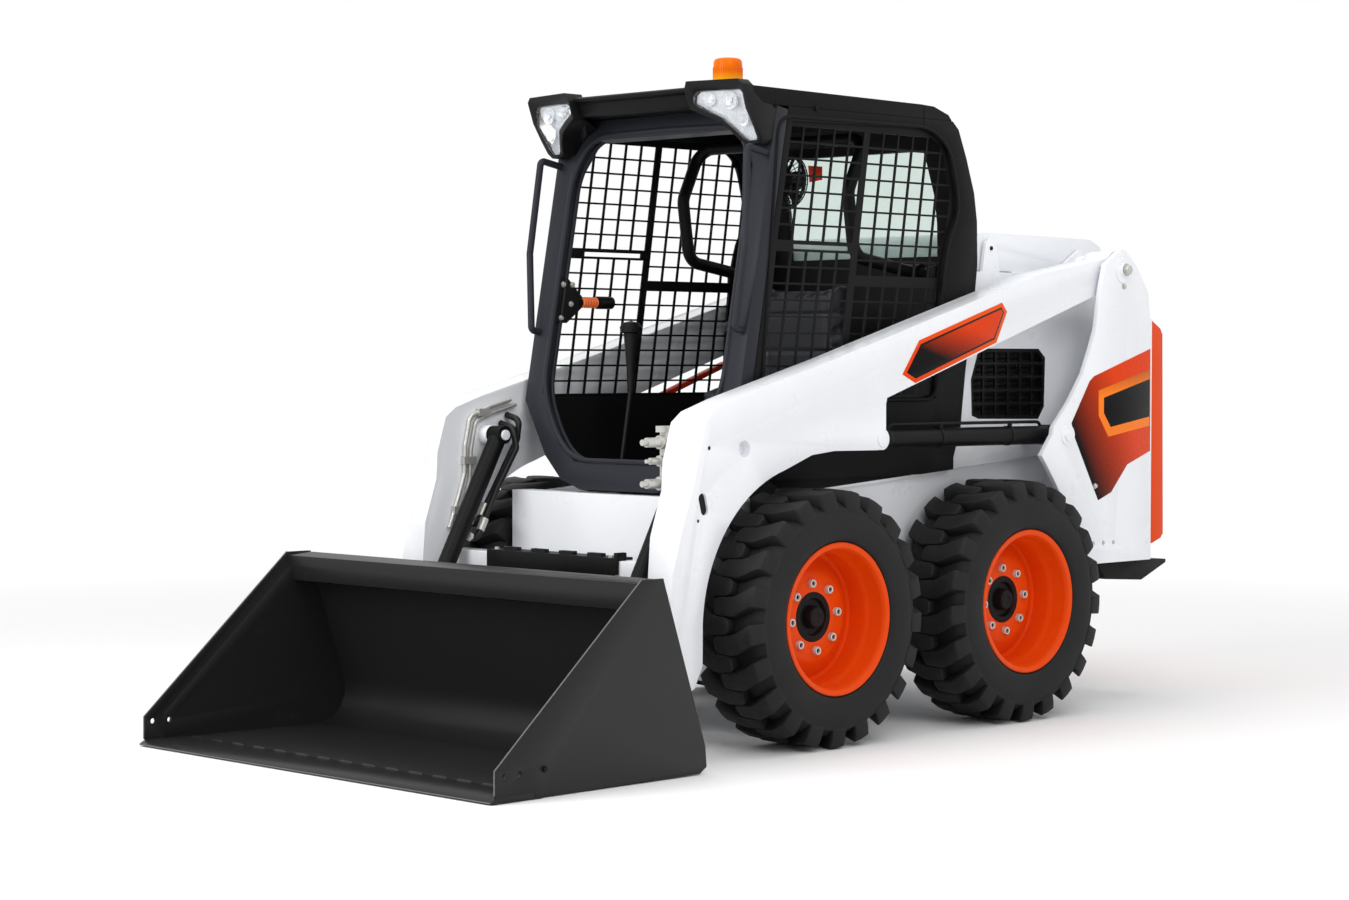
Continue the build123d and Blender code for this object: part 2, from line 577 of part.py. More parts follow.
# columns: name, foot, eye, middle y, bore, barrel, rod, eye radius, foot pin, piston at, shortens by
CYLINDERS = (
    ("lift", BASE_PIN, CLEVIS, ARM_MID, LIFT_BORE_R, LIFT_BARREL_R, LIFT_ROD_R, LIFT_EYE_R,
     BASE_PIN_R, LIFT_PISTON_AT, 0.0),
    ("tilt", TILT_TOP, TILT_FOOT, TILT_Y, TILT_BORE_R, TILT_BARREL_R, TILT_ROD_R, TILT_EYE_R,
     TILT_PIN_R, TILT_PISTON_AT, TILT_CLOSED_BY),
)
for kind, foot, eye, mid_y, bore_r, barrel_r, rod_r, eye_r, pin_r, piston_at, shortens in CYLINDERS:
    closed = hypot(eye[0] - foot[0], eye[1] - foot[1])
    barrel_end = closed - shortens - eye_r - 12
    for name, s in SIDES:
        y = s * mid_y
        y_out = s * (mid_y + EYE_WIDTH / 2)
        y_in = s * (mid_y - EYE_WIDTH / 2)
        foot_out = s * (mid_y + barrel_r + 1)
        foot_in = s * (mid_y - barrel_r - 1)
        with BuildPart() as barrel:
            pin(foot, eye_r, foot_out, foot_in)
            round_bar(foot, eye, y, barrel_r, (eye_r * 0.5, barrel_end))
            round_bar(foot, eye, y, bore_r, (eye_r + 20, barrel_end - GLAND), mode=Mode.SUBTRACT)
            round_bar(foot, eye, y, rod_r + PIN_FIT, (barrel_end - GLAND - 1, barrel_end), mode=Mode.SUBTRACT)
            pin(foot, pin_r + PIN_FIT, foot_out, foot_in, mode=Mode.SUBTRACT)
        save(barrel, f"{kind}_barrel_{name}")
        with BuildPart() as rod:
            round_bar(foot, eye, y, bore_r - PIN_FIT, (piston_at, piston_at + PISTON))
            round_bar(foot, eye, y, rod_r, (piston_at, closed - eye_r * 0.5))
            pin(eye, eye_r, y_out, y_in)
            if kind == "lift":
                reach = (ARM_OUT - ARM_IN) / 2 - CLEVIS_WALL - SEAT_GAP
                pin(eye, BASE_PIN_R, s * (mid_y + reach), s * (mid_y - reach))
            else:
                reach = EYE_WIDTH / 2 + 4
                pin(eye, TILT_PIN_R, s * (mid_y + reach), s * (mid_y - reach))
        save(rod, f"{kind}_rod_{name}")

# tilt cylinder hoses: from a port on the barrel, up behind it and over to the arm
tilt_long = hypot(TILT_FOOT[0] - TILT_TOP[0], TILT_FOOT[1] - TILT_TOP[1])
tilt_way = ((TILT_FOOT[0] - TILT_TOP[0]) / tilt_long, (TILT_FOOT[1] - TILT_TOP[1]) / tilt_long)


def behind_barrel(distance, off, y):
    """Point beside the tilt cylinder: distance down its axis, off towards the machine."""
    x = TILT_TOP[0] + tilt_way[0] * distance + tilt_way[1] * off
    z = TILT_TOP[1] + tilt_way[1] * distance - tilt_way[0] * off
    return at(x, y, z)


HOSE_R = 10.0
for name, s in SIDES:
    with BuildPart() as tilt_hoses:
        for port, inner, rise in ((340, TILT_Y - 12, 0), (290, TILT_Y + 14, 26)):
            y = s * inner
            ends = [
                behind_barrel(port, TILT_BARREL_R, y), behind_barrel(port, 64, y),
                behind_barrel(150, 64 + rise * 0.4, y), at(722 - rise, y, 872 + rise), at(716 - rise, s * 440, 935 + rise),
                at(722 - rise, s * (ARM_IN - ARM_GAP), 950 + rise),
            ]
            tube(ends, HOSE_R, 24)
    save(tilt_hoses, f"tilt_hose_{name}")

# ---------------------------------------------------------------- bucket
CHEEK_STRIP = 6.0        # reinforcement along the front of each cheek
WALL_FOOT = (1070.0, 12.0)
WALL_TOP = (1258.0, 553.0)
wall_angle = atan2(WALL_TOP[1] - WALL_FOOT[1], WALL_TOP[0] - WALL_FOOT[0])
floor_mid = BUCKET_LIFT + BUCKET_PLATE / 2


def wall_x(z, off=0.0):
    """Outer face of the bucket's back wall at a height, off = distance behind it."""
    return WALL_FOOT[0] + (z - WALL_FOOT[1]) / tan(wall_angle) - off / sin(wall_angle)


with BuildPart() as bucket_shell:
    inset = -BUCKET_PLATE / 2
    with BuildSketch(side(BUCKET_OUT - CHEEK_STRIP)) as shell_face:
        with BuildLine() as shell_line:
            FilletPolyline(
                (EDGE_X - EDGE_DEPTH, floor_mid), (wall_x(floor_mid, inset), floor_mid), (wall_x(548, inset), 548),
                radius=110,
            )
        trace(line_width=BUCKET_PLATE)
        with BuildLine() as lip_line:
            Polyline((wall_x(548, inset), 548), (1340, 541), (1320, 470), (wall_x(455, inset), 455))
        trace(line_width=BUCKET_PLATE * 0.8)
    extrude(shell_face.sketch, amount=2 * (BUCKET_OUT - CHEEK_STRIP))
    edge_back = EDGE_X - EDGE_DEPTH
    edge_top = BUCKET_LIFT + EDGE_THICK
    cheek = [
        (edge_back, BUCKET_LIFT), (edge_back, edge_top), (EDGE_X - 84, edge_top), (EDGE_X - 84, 92), (1285, 555),
        (wall_x(555), 555), (wall_x(80), 80), (wall_x(30) + 12, 20), (wall_x(0) + 50, BUCKET_LIFT),
    ]
    strip = [
        (edge_back, BUCKET_LIFT), (edge_back, edge_top), (EDGE_X - 14, edge_top), (EDGE_X - 14, 87), (1345, 555),
        (1262, 555), (1296, 500), (1706, 92), (1706, BUCKET_LIFT),
    ]
    for name, s in SIDES:
        plate(cheek, s * (BUCKET_OUT - CHEEK_STRIP), s * (BUCKET_OUT - BUCKET_SIDE))
        plate(strip, s * BUCKET_OUT, s * (BUCKET_OUT - CHEEK_STRIP))
        for hole_x in (1846, 1790):
            pin((hole_x, 72), 8, s * BUCKET_OUT, s * (BUCKET_OUT - BUCKET_SIDE), mode=Mode.SUBTRACT)
save(bucket_shell, "bucket_shell")

with BuildPart() as cutting_edge:
    tip = [
        (EDGE_X - EDGE_DEPTH, BUCKET_LIFT), (EDGE_X, BUCKET_LIFT), (EDGE_X, BUCKET_LIFT + 5),
        (EDGE_X - 20, BUCKET_LIFT + EDGE_THICK), (EDGE_X - EDGE_DEPTH, BUCKET_LIFT + EDGE_THICK),
    ]
    plate(tip, BUCKET_OUT, -BUCKET_OUT)
save(cutting_edge, "cutting_edge")

with BuildPart() as mount_frame:
    back = [
        (wall_x(120), 120), (wall_x(470), 470), (wall_x(470, MOUNT_PLATE), 470), (wall_x(120, MOUNT_PLATE), 120),
    ]
    plate(back, 640, -640)
    hinge_ear = [
        (wall_x(130, 1), 130), (wall_x(330, 1), 330), (HINGE[0] - 10, HINGE[1] + 40), (HINGE[0] - 38, HINGE[1] + 10),
        (HINGE[0] - 38, HINGE[1] - 15), (HINGE[0] - 10, HINGE[1] - 40),
    ]
    tilt_ear = [
        (wall_x(300, 1), 300), (wall_x(460, 1), 460), (TILT_FOOT[0], TILT_FOOT[1] + 30),
        (TILT_FOOT[0] - 28, TILT_FOOT[1] + 12), (TILT_FOOT[0] - 28, TILT_FOOT[1] - 12), (TILT_FOOT[0], TILT_FOOT[1] - 30),
    ]
    for name, s in SIDES:
        for near, far in ((ARM_IN - ARM_GAP, ARM_IN - ARM_GAP - 12), (ARM_OUT + ARM_GAP, ARM_OUT + ARM_GAP + 12)):
            plate(hinge_ear, s * near, s * far)
        pin(HINGE, HINGE_R, s * (ARM_IN - ARM_GAP - 12), s * (ARM_OUT + ARM_GAP + 12))
        for near, far in ((TILT_Y - 31, TILT_Y - 43), (TILT_Y + 31, TILT_Y + 43)):
            plate(tilt_ear, s * near, s * far)
save(mount_frame, "mount_frame")

# ---------------------------------------------------------------- cab
front_back = FRAME_THICK / cos(radians(LEAN))
window = [
    (face_x(1030) - 75, 1030), (face_x(1872) - 75, 1872), (-240, 1885), (-330, 1830), (-370, 1690), (-375, 1620),
    (-330, 1540), (-310, 1460), (-290, 1320), (-270, 1030),
]
cab_side_outline = [
    (face_x(1022) - front_back, 1022), (face_x(ROOF_LINE) - front_back, ROOF_LINE), (-350, ROOF_LINE),
    (-380, 1890), (-420, 1800), (-460, 1690), (-475, 1600), (-478, 1460), (-462, 1340), (-420, 1120),
    (-395, 930), (-361, 840), (-361, ledge(-361)), (400, ledge(400)), (470, 790), (530, 849),
]
SEAT_BAR_PIVOT = (-300.0, 1430.0)
for name, s in SIDES:
    with BuildPart() as cab_side:
        plate(cab_side_outline, s * CAB_OUT, s * CAB_IN)
        plate(window, s * CAB_OUT, s * CAB_IN, mode=Mode.SUBTRACT)
        block((-500, 700), (s * (HULL_Y + LEDGE_WIDTH), s * CAB_OUT), (700, 790), mode=Mode.SUBTRACT)
        pin(SEAT_BAR_PIVOT, 18, s * CAB_IN, s * 388.3)
        web = [(-372, 1400), (-330, 1400), (-270, 1412), (-270, 1448), (-330, 1460), (-372, 1460)]
        plate(web, s * (CAB_IN + 10), s * (CAB_IN - 4))
    save(cab_side, f"cab_side_{name}")

SCREEN_FOOT = 1030.0
SCREEN_LEAN = tan(radians(8.6))
# columns: rear edge of the first hole at the foot, step to the next, holes, bottoms of the rows below and above the bar
SCREEN_HOLES = (
    (188, 70, 5, [1036 + 50 * row for row in range(9)] + [1514 + 50 * row for row in range(7)]),
    (98, -70, 7, [1036 + 50 * row for row in range(7)] + [1414 + 50 * row for row in range(9)]),
)
screen_cells = [(136, 1488, 255, 14, SCREEN_LEAN)]
for first, step, count, bottoms in SCREEN_HOLES:
    for column in range(count):
        for z in bottoms:
            x = first + step * column - (z - SCREEN_FOOT) * SCREEN_LEAN
            screen_cells.append((x, z, 62, 44, SCREEN_LEAN))
with BuildPart() as side_screens:
    plate(window, 462, 457)
    punched(window, 12, 462, 457, screen_cells)
    mirror(about=Plane.XZ)
save(side_screens, "side_screens")


def front_plane(off=0.0):
    """Leaning plane of the cab's front face: sketch x runs left, sketch y runs up the lean."""
    normal = (cos(radians(LEAN)), 0, sin(radians(LEAN)))
    origin = at(FACE_X, 0, FACE_Z) + Vector(*normal) * off
    return Plane(origin=origin, x_dir=(0, 1, 0), z_dir=normal)


def up(z):
    """Height in the leaning plane for a height above the ground."""
    return (z - FACE_Z) / cos(radians(LEAN))


def mirrored(points):
    """Closed outline from its left half, given from bottom to top."""
    return points + [(-y, z) for y, z in reversed(points)]


with BuildPart() as cab_front:
    low = FRONT_TOP_Z + FRAME_THICK * sin(radians(LEAN))
    outer = mirrored([(168, up(low)), (259, up(778)), (344, up(849)), (CAB_OUT, up(1022)), (CAB_OUT, up(ROOF_LINE))])
    inner = mirrored([(205, up(835)), (300, up(905)), (399, up(1050)), (399, up(1740)), (330, up(1850))])
    with BuildSketch(front_plane()) as face:
        with BuildLine():
            Polyline(*outer, close=True)
        make_face()
        with BuildLine():
            Polyline(*inner, close=True)
        make_face(mode=Mode.SUBTRACT)
    extrude(face.sketch, amount=-FRAME_THICK)
    block((0, 800), (-600, 600), (ROOF_LINE, 2100), mode=Mode.SUBTRACT)
save(cab_front, "cab_front")

LAMP_IN = 335.0          # inner end of a work light
LAMP_BACK = BEACON[0] + BEACON_R + 3

with BuildPart() as cab_roof:
    roof_outline = [
        (ROOF_FRONT - 14, ROOF_LINE), (ROOF_FRONT, ROOF_Z - 12), (ROOF_FRONT - 20, ROOF_Z), (470, ROOF_Z), (-200, 1960),
        (-260, 1957), (-330, 1935), (-350, ROOF_LINE),
    ]
    plate(roof_outline, CAB_OUT, -CAB_OUT)
    roof_inside = [(400, ROOF_LINE), (400, 1948), (-200, 1948), (-310, 1930), (-310, ROOF_LINE)]
    plate(roof_inside, CAB_IN, -CAB_IN, mode=Mode.SUBTRACT)
    for name, s in SIDES:
        block((LAMP_BACK, 700), (s * LAMP_IN, s * 500), (1900, 2100), mode=Mode.SUBTRACT)
save(cab_roof, "cab_roof")

with BuildPart() as cab_rear:
    rear_outline = [
        (-350, ROOF_LINE), (-380, 1890), (-420, 1800), (-460, 1690), (-475, 1600), (-478, 1460), (-462, 1340),
        (-420, 1120), (-395, 930), (-361, 840), (-361, DECK_Z + SHEET), (-330, DECK_Z + SHEET), (-331, 840), (-365, 936),
        (-390, 1124), (-432, 1343), (-448, 1462), (-445, 1596), (-431, 1684), (-391, 1790), (-352, 1878), (-320, ROOF_LINE),
    ]
    plate(rear_outline, CAB_IN, -CAB_IN)
    for name, s in SIDES:
        block((-500, -300), (s * (HULL_Y - SHEET), s * CAB_IN), (700, 806), mode=Mode.SUBTRACT)
    block((-600, -300), (-330, 330), (1490, 1830), mode=Mode.SUBTRACT)
save(cab_rear, "cab_rear")

with BuildPart() as rear_window:
    glass = [(-462, 1490), (-459, 1600), (-444, 1686), (-393, 1830), (-387, 1830), (-438, 1686), (-453, 1600), (-456, 1490)]
    plate(glass, 330, -330)
save(rear_window, "rear_window")

with BuildPart() as seat_cushion:
    plate([(-162, 960), (110, 960), (130, 1060), (-153, 1050)], 230, -230)
save(seat_cushion, "seat_cushion")

with BuildPart() as seat_back:
    plate([(-250, 960.3), (-165, 960.3), (-120, 1420), (-190, 1420)], 230, -230)
save(seat_back, "seat_back")

with BuildPart() as control_levers:
    for name, s in SIDES:
        y = s * 230
        block((400, 500), (y - 40, y + 40), (FOOT_Z + SHEET, 640))
        tube([at(440, y, 639), at(440, y, 830), at(400, y, 1060)], 7, 60)
        # columns: away from the lever's axis, up
        grip = [(0, 1050), (11, 1050), (15, 1140), (24, 1236), (34, 1240), (36, 1256), (26, 1270), (0, 1276)]
        with BuildSketch(Plane(origin=at(400, y, 0), x_dir=(1, 0, 0), z_dir=(0, -1, 0))) as face:
            with BuildLine():
                Polyline(*grip, close=True)
            make_face()
        revolve(face.sketch, axis=Axis((at(400, y, 0).X, y, 0), (0, 0, 1)))
save(control_levers, "control_levers")

with BuildPart() as post_latch:
    latch_plate = [(556, 1413), (525, 1413), (454, 1346), (454, 1326), (530, 1269), (583, 1269)]
    plate(latch_plate, -399, -391)
    round_along((-395, 1336), 13, 470, 395)
    round_along((-395, 1336), 20, 395, 331)
save(post_latch, "post_latch")

FAN = (-240.0, 1755.0)
FAN_R = 95.0
with BuildPart() as cab_fan:
    with BuildSketch(across(-335)) as face:
        with Locations(FAN):
            Circle(FAN_R)
            Circle(FAN_R - 7, mode=Mode.SUBTRACT)
            for turn in (0, 60, 120):
                with Locations(Location((0, 0, 0), (0, 0, turn))):
                    Rectangle(2 * FAN_R - 8, 5)
    extrude(face.sketch, amount=12)
    round_along(FAN, 32, -335, -388)
    stay = [(-345, FAN[1]), (-330, 1870), (-190, 1905), (-190, 1948)]
    tube([at(x, FAN[0], z) for x, z in stay], 6, 20)
save(cab_fan, "cab_fan")

with BuildPart() as seat_bar:
    for name, s in SIDES:
        pin(SEAT_BAR_PIVOT, 30, s * 388, s * 345)
    path = [(-285, 365, 1433), (0, 365, 1478), (30, 365, 1680), (-50, 365, 1850)]
    points = [at(*p) for p in path] + [at(x, -y, z) for x, y, z in reversed(path)]
    tube(points, 20, 60)
save(seat_bar, "seat_bar")

with BuildPart() as grab_handles:
    normal = Vector(cos(radians(LEAN)), 0, sin(radians(LEAN)))
    for name, s in SIDES:
        foot = at(face_x(1240), s * 450, 1240)
        head = at(face_x(1772), s * 455, 1772)
        tube([foot, foot + normal * 34, at(612, s * 476, 1490), head + normal * 88, head], 11, 14)
save(grab_handles, "grab_handles")

# work lights on the cab's front corners: columns forward, up
LAMP_FACE = ((face_x(1798) + 4, 1798), (604, 1925), (609, 1968))


def lamp_lens(front, depth):
    """Both lenses: the bent face set back by front, as thick as depth."""
    band = [(x - front, z) for x, z in LAMP_FACE] + [(x - front - depth, z) for x, z in reversed(LAMP_FACE)]
    with BuildPart() as lens:
        for name, s in SIDES:
            plate(band, s * 466, s * 345)
        corner = [(352, 1962), (352, 1936), (415, 1872), (444, 1806), (466, 1806), (463, 1900), (458, 1962)]
        front_shape([[(s * y, z) for y, z in corner] for name, s in SIDES], 300, 700, mode=Mode.INTERSECT)
    return lens.part


with BuildPart() as work_lights:
    for name, s in SIDES:
        shroud = list(LAMP_FACE) + [
            (612, 1972), (604, 1984), (LAMP_BACK, 1984), (LAMP_BACK, ROOF_LINE), (face_x(ROOF_LINE), ROOF_LINE),
            (face_x(1798), 1798),
        ]
        plate(shroud, s * CAB_OUT, s * LAMP_IN)
    add(lamp_lens(-4, 30), mode=Mode.SUBTRACT)
save(work_lights, "work_lights")

with BuildPart() as light_lenses:
    add(lamp_lens(1, 5))
save(light_lenses, "light_lenses")

with BuildPart() as beacon:
    with BuildSketch(level(ROOF_Z - 0.5)) as face:
        with Locations(BEACON):
            Circle(BEACON_R)
    extrude(face.sketch, amount=BEACON_TALL + 0.5)
    block((400, 700), (200, 450), (1900, ROOF_Z), mode=Mode.SUBTRACT)
save(beacon, "beacon")
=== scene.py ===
# %% [markdown]
# # A skid steer loader, dressed
# A skid steer loader turns by driving its left and right wheels at different speeds. Its solids, joints
# and sizes come ready made. This notebook gives them their paint, rubber, glass and small fittings, and
# sets up a plain studio round them. Blender works in metres: +X forward, +Y left, +Z up.

# %% Load the solids
import json
import math

import bmesh
import bpy
from mathutils import Matrix, Vector

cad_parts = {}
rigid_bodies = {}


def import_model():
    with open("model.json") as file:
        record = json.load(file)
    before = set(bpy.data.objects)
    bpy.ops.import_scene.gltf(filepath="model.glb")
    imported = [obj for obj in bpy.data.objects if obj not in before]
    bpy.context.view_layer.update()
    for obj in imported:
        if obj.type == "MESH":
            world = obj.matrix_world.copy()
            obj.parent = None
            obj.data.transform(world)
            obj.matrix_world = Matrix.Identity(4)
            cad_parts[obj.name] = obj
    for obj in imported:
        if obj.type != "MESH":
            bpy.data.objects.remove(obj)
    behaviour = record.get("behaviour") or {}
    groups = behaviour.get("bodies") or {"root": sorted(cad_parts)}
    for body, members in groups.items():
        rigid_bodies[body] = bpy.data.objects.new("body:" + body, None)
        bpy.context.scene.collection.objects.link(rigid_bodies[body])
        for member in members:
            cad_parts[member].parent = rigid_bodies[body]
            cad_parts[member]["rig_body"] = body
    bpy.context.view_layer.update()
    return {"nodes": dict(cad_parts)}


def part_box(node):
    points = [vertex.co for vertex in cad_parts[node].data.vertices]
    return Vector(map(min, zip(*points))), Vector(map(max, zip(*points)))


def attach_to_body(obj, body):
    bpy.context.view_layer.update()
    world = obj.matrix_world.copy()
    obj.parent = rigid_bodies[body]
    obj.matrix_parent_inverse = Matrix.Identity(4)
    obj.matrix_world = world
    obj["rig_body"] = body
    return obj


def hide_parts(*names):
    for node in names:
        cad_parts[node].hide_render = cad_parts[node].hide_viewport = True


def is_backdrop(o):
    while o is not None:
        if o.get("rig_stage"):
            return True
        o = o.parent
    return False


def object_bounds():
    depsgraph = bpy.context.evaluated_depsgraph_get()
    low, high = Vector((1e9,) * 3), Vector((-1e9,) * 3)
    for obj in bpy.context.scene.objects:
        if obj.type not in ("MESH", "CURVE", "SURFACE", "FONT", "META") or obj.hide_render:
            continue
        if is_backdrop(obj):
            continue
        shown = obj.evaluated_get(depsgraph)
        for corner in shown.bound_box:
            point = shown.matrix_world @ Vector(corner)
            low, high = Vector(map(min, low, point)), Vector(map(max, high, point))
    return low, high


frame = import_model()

nodes = frame["nodes"]

# %% [markdown]
# ## Camera
# The machine was looked at from its front left, from a little above the hubs and through a long lens,
# which keeps the far wheel nearly as large as the near one. A camera in Blender looks down its own -Z
# axis, so a heading and a dip are turned into a direction first, and a quaternion points -Z along it.

# %% Place the camera
CAMERA_AT = Vector((6.460, 6.308, 1.158))
HEADING = math.radians(225.095)
DIP = math.radians(1.855)
TILT = math.radians(0.076)
LENS = 75.9

camera_data = bpy.data.cameras.new("camera")
camera_data.lens = LENS
camera_data.sensor_width = 36.0
camera = bpy.data.objects.new("camera", camera_data)
bpy.context.scene.collection.objects.link(camera)
ahead = Vector((math.cos(HEADING) * math.cos(DIP), math.sin(HEADING) * math.cos(DIP), -math.sin(DIP)))
camera.rotation_mode = "QUATERNION"
camera.rotation_quaternion = ahead.to_track_quat("-Z", "Y") @ Matrix.Rotation(TILT, 3, "Z").to_quaternion()
camera.location = CAMERA_AT
bpy.context.scene.camera = camera
bpy.context.scene.view_settings.view_transform = "Standard"
print("camera stands", round(CAMERA_AT.length, 2), "m from the middle of the machine")

# %% [markdown]
# ## Helpers for materials
# A material is a small graph. These helpers add one node at a time and wire it up, so that each finish
# below reads as a short recipe. Patterns follow Object coordinates, which are metres on this machine,
# so a noise of scale 10 has grains about a tenth of a metre across, wherever the piece stands.


# %% Node helpers
def srgb(red, green, blue):
    """A colour as a paint chart gives it, 0 to 255, made linear as the shader wants it."""
    parts = [value / 255 for value in (red, green, blue)]
    return tuple(p / 12.92 if p <= 0.04045 else ((p + 0.055) / 1.055) ** 2.4 for p in parts)


def add_node(tree, kind, inputs=None, **settings):
    """Adds a node, sets its inputs by name or number, and links those that are sockets."""
    made = tree.nodes.new(kind)
    for name, value in settings.items():
        setattr(made, name, value)
    for name, value in (inputs or {}).items():
        if isinstance(value, bpy.types.NodeSocket):
            tree.links.new(value, made.inputs[name])
        else:
            made.inputs[name].default_value = value
    return made


def new_finish(name, colour, roughness, metallic=0.0, coat=0.0, sheen=0.5):
    """A Principled material with its plain values on the shader's own sockets."""
    material = bpy.data.materials.new(name)
    material.use_nodes = True
    shader = material.node_tree.nodes["Principled BSDF"]
    shader.inputs["Base Color"].default_value = (*colour, 1.0)
    shader.inputs["Roughness"].default_value = roughness
    shader.inputs["Metallic"].default_value = metallic
    shader.inputs["Coat Weight"].default_value = coat
    shader.inputs["Coat Roughness"].default_value = 0.12
    shader.inputs["Specular IOR Level"].default_value = sheen
    return material, material.node_tree, shader


def object_point(tree):
    return add_node(tree, "ShaderNodeTexCoord").outputs["Object"]


def noise(tree, point, scale, detail=3.0, roughness=0.5):
    inputs = {"Vector": point, "Scale": scale, "Detail": detail, "Roughness": roughness}
    return add_node(tree, "ShaderNodeTexNoise", inputs).outputs["Fac"]


def stretched(tree, point, scale):
    """The point, scaled differently along each axis, for brushed or streaked patterns."""
    return add_node(tree, "ShaderNodeMapping", {"Vector": point, "Scale": scale}).outputs["Vector"]


def spread(tree, value, low, high, to_low=0.0, to_high=1.0):
    """Maps the range low to high onto another, held at its ends."""
    inputs = {"Value": value, "From Min": low, "From Max": high, "To Min": to_low, "To Max": to_high}
    return add_node(tree, "ShaderNodeMapRange", inputs).outputs["Result"]


def arithmetic(tree, operation, first, second=0.0):
    return add_node(tree, "ShaderNodeMath", {0: first, 1: second}, operation=operation).outputs["Value"]


def blend_colours(tree, share, first, second):
    """Mixes two colours; share 0 gives the first. Node inputs 6 and 7 are the colour pair."""
    made = add_node(tree, "ShaderNodeMix", {0: share}, data_type="RGBA")
    for number, colour in ((6, first), (7, second)):
        if isinstance(colour, bpy.types.NodeSocket):
            tree.links.new(colour, made.inputs[number])
        else:
            made.inputs[number].default_value = (*colour, 1.0)
    return made.outputs[2]


def wire_bump(tree, shader, height, strength, distance):
    inputs = {"Height": height, "Strength": strength, "Distance": distance}
    bump = add_node(tree, "ShaderNodeBump", inputs)
    tree.links.new(bump.outputs["Normal"], shader.inputs["Normal"])


# %% [markdown]
# ## Paints
# Sprayed enamel is never one flat colour. Up close it has a faint orange peel, its gloss wanders a
# little, and dust settles low down. One recipe makes every paint of the machine: its colour, its
# gloss, and how much dust it holds. Dark paints get less mirror strength than pale ones, because a
# white room in a strong mirror would wash them out to grey.


# %% Sprayed paint
DUST = srgb(150, 140, 126)
DUST_TOP = 0.75       # the height that dust reaches


def sprayed_paint(name, colour, roughness, coat, dust, peel=0.035, sheen=0.5):
    material, tree, shader = new_finish(name, colour, roughness, coat=coat, sheen=sheen)
    point = object_point(tree)
    cloud = noise(tree, point, 3.2, 4.0)
    shade = blend_colours(tree, spread(tree, cloud, 0.3, 0.75), colour, [c * 0.93 for c in colour])
    height = add_node(tree, "ShaderNodeSeparateXYZ", {"Vector": point}).outputs["Z"]
    low_down = spread(tree, height, DUST_TOP, 0.05)
    patches = spread(tree, noise(tree, point, 14.0, 6.0, 0.65), 0.42, 0.75)
    share = arithmetic(tree, "MULTIPLY", arithmetic(tree, "MULTIPLY", low_down, patches), dust)
    tree.links.new(blend_colours(tree, share, shade, DUST), shader.inputs["Base Color"])
    gloss = spread(tree, noise(tree, point, 9.0, 5.0), 0.3, 0.8, roughness - 0.04, roughness + 0.07)
    dulled = arithmetic(tree, "ADD", gloss, arithmetic(tree, "MULTIPLY", share, 0.5))
    tree.links.new(dulled, shader.inputs["Roughness"])
    wire_bump(tree, shader, noise(tree, point, 520.0, 2.0), peel, 0.001)
    return material


white_paint = sprayed_paint("white_paint", srgb(238, 240, 244), 0.30, 0.35, dust=0.10)
orange_paint = sprayed_paint("orange_paint", srgb(228, 72, 4), 0.36, 0.0, dust=0.04, sheen=0.12)
charcoal_paint = sprayed_paint(
    "charcoal_paint", srgb(42, 44, 50), 0.40, 0.0, dust=0.03, peel=0.09, sheen=0.12
)
# a darker, less glossy copy of the cab's charcoal paint: painted shade on the roof, sides and rear
roof_paint = sprayed_paint("roof_paint", srgb(22, 22, 23), 0.46, 0.0, dust=0.02, peel=0.09, sheen=0.08)
black_paint = sprayed_paint("black_paint", srgb(15, 15, 16), 0.45, 0.0, dust=0.04, peel=0.09, sheen=0.12)
print("dust reaches", DUST_TOP, "m")

# %% [markdown]
# ## Bucket paint
# The bucket is the one piece that rubs on the ground. Its satin black coat has fine scuffs that run
# forward, the way material slides in and out. A noise that is stretched along X draws those scuffs.


# %% Bucket paint
def scuffed_paint(name, colour, scuff_colour, roughness):
    material, tree, shader = new_finish(name, colour, roughness, sheen=0.2)
    point = object_point(tree)
    streaks = noise(tree, stretched(tree, point, (6.0, 90.0, 60.0)), 3.0, 5.0, 0.6)
    cloud = noise(tree, point, 5.0, 4.0)
    wear = arithmetic(tree, "MULTIPLY", spread(tree, streaks, 0.56, 0.78), spread(tree, cloud, 0.42, 0.7))
    tree.links.new(blend_colours(tree, wear, colour, scuff_colour), shader.inputs["Base Color"])
    tree.links.new(spread(tree, wear, 0.0, 1.0, roughness, roughness + 0.16), shader.inputs["Roughness"])
    wire_bump(tree, shader, noise(tree, point, 420.0, 3.0), 0.10, 0.001)
    return material


bucket_paint = scuffed_paint("bucket_paint", srgb(31, 31, 32), srgb(46, 46, 47), 0.34)
# pale grey for the bars along the bucket's edges: a painted highlight
worn_edge = scuffed_paint("worn_edge", srgb(104, 104, 106), srgb(150, 150, 152), 0.42)
print("scuffed:", bucket_paint.name, worn_edge.name)

# %% [markdown]
# ## Rubber
# Tyre rubber is a very dark warm grey with a dry, slightly chalky skin. The sidewall carries fine
# moulded rings round the axle, so its bump reads the distance from that axle, which differs between
# the front and the rear pair. Brown dust lies on the tread, out at the largest radius.

# %% Tyre rubber
AXLE_Z = 0.386
RING_PITCH = 0.0042


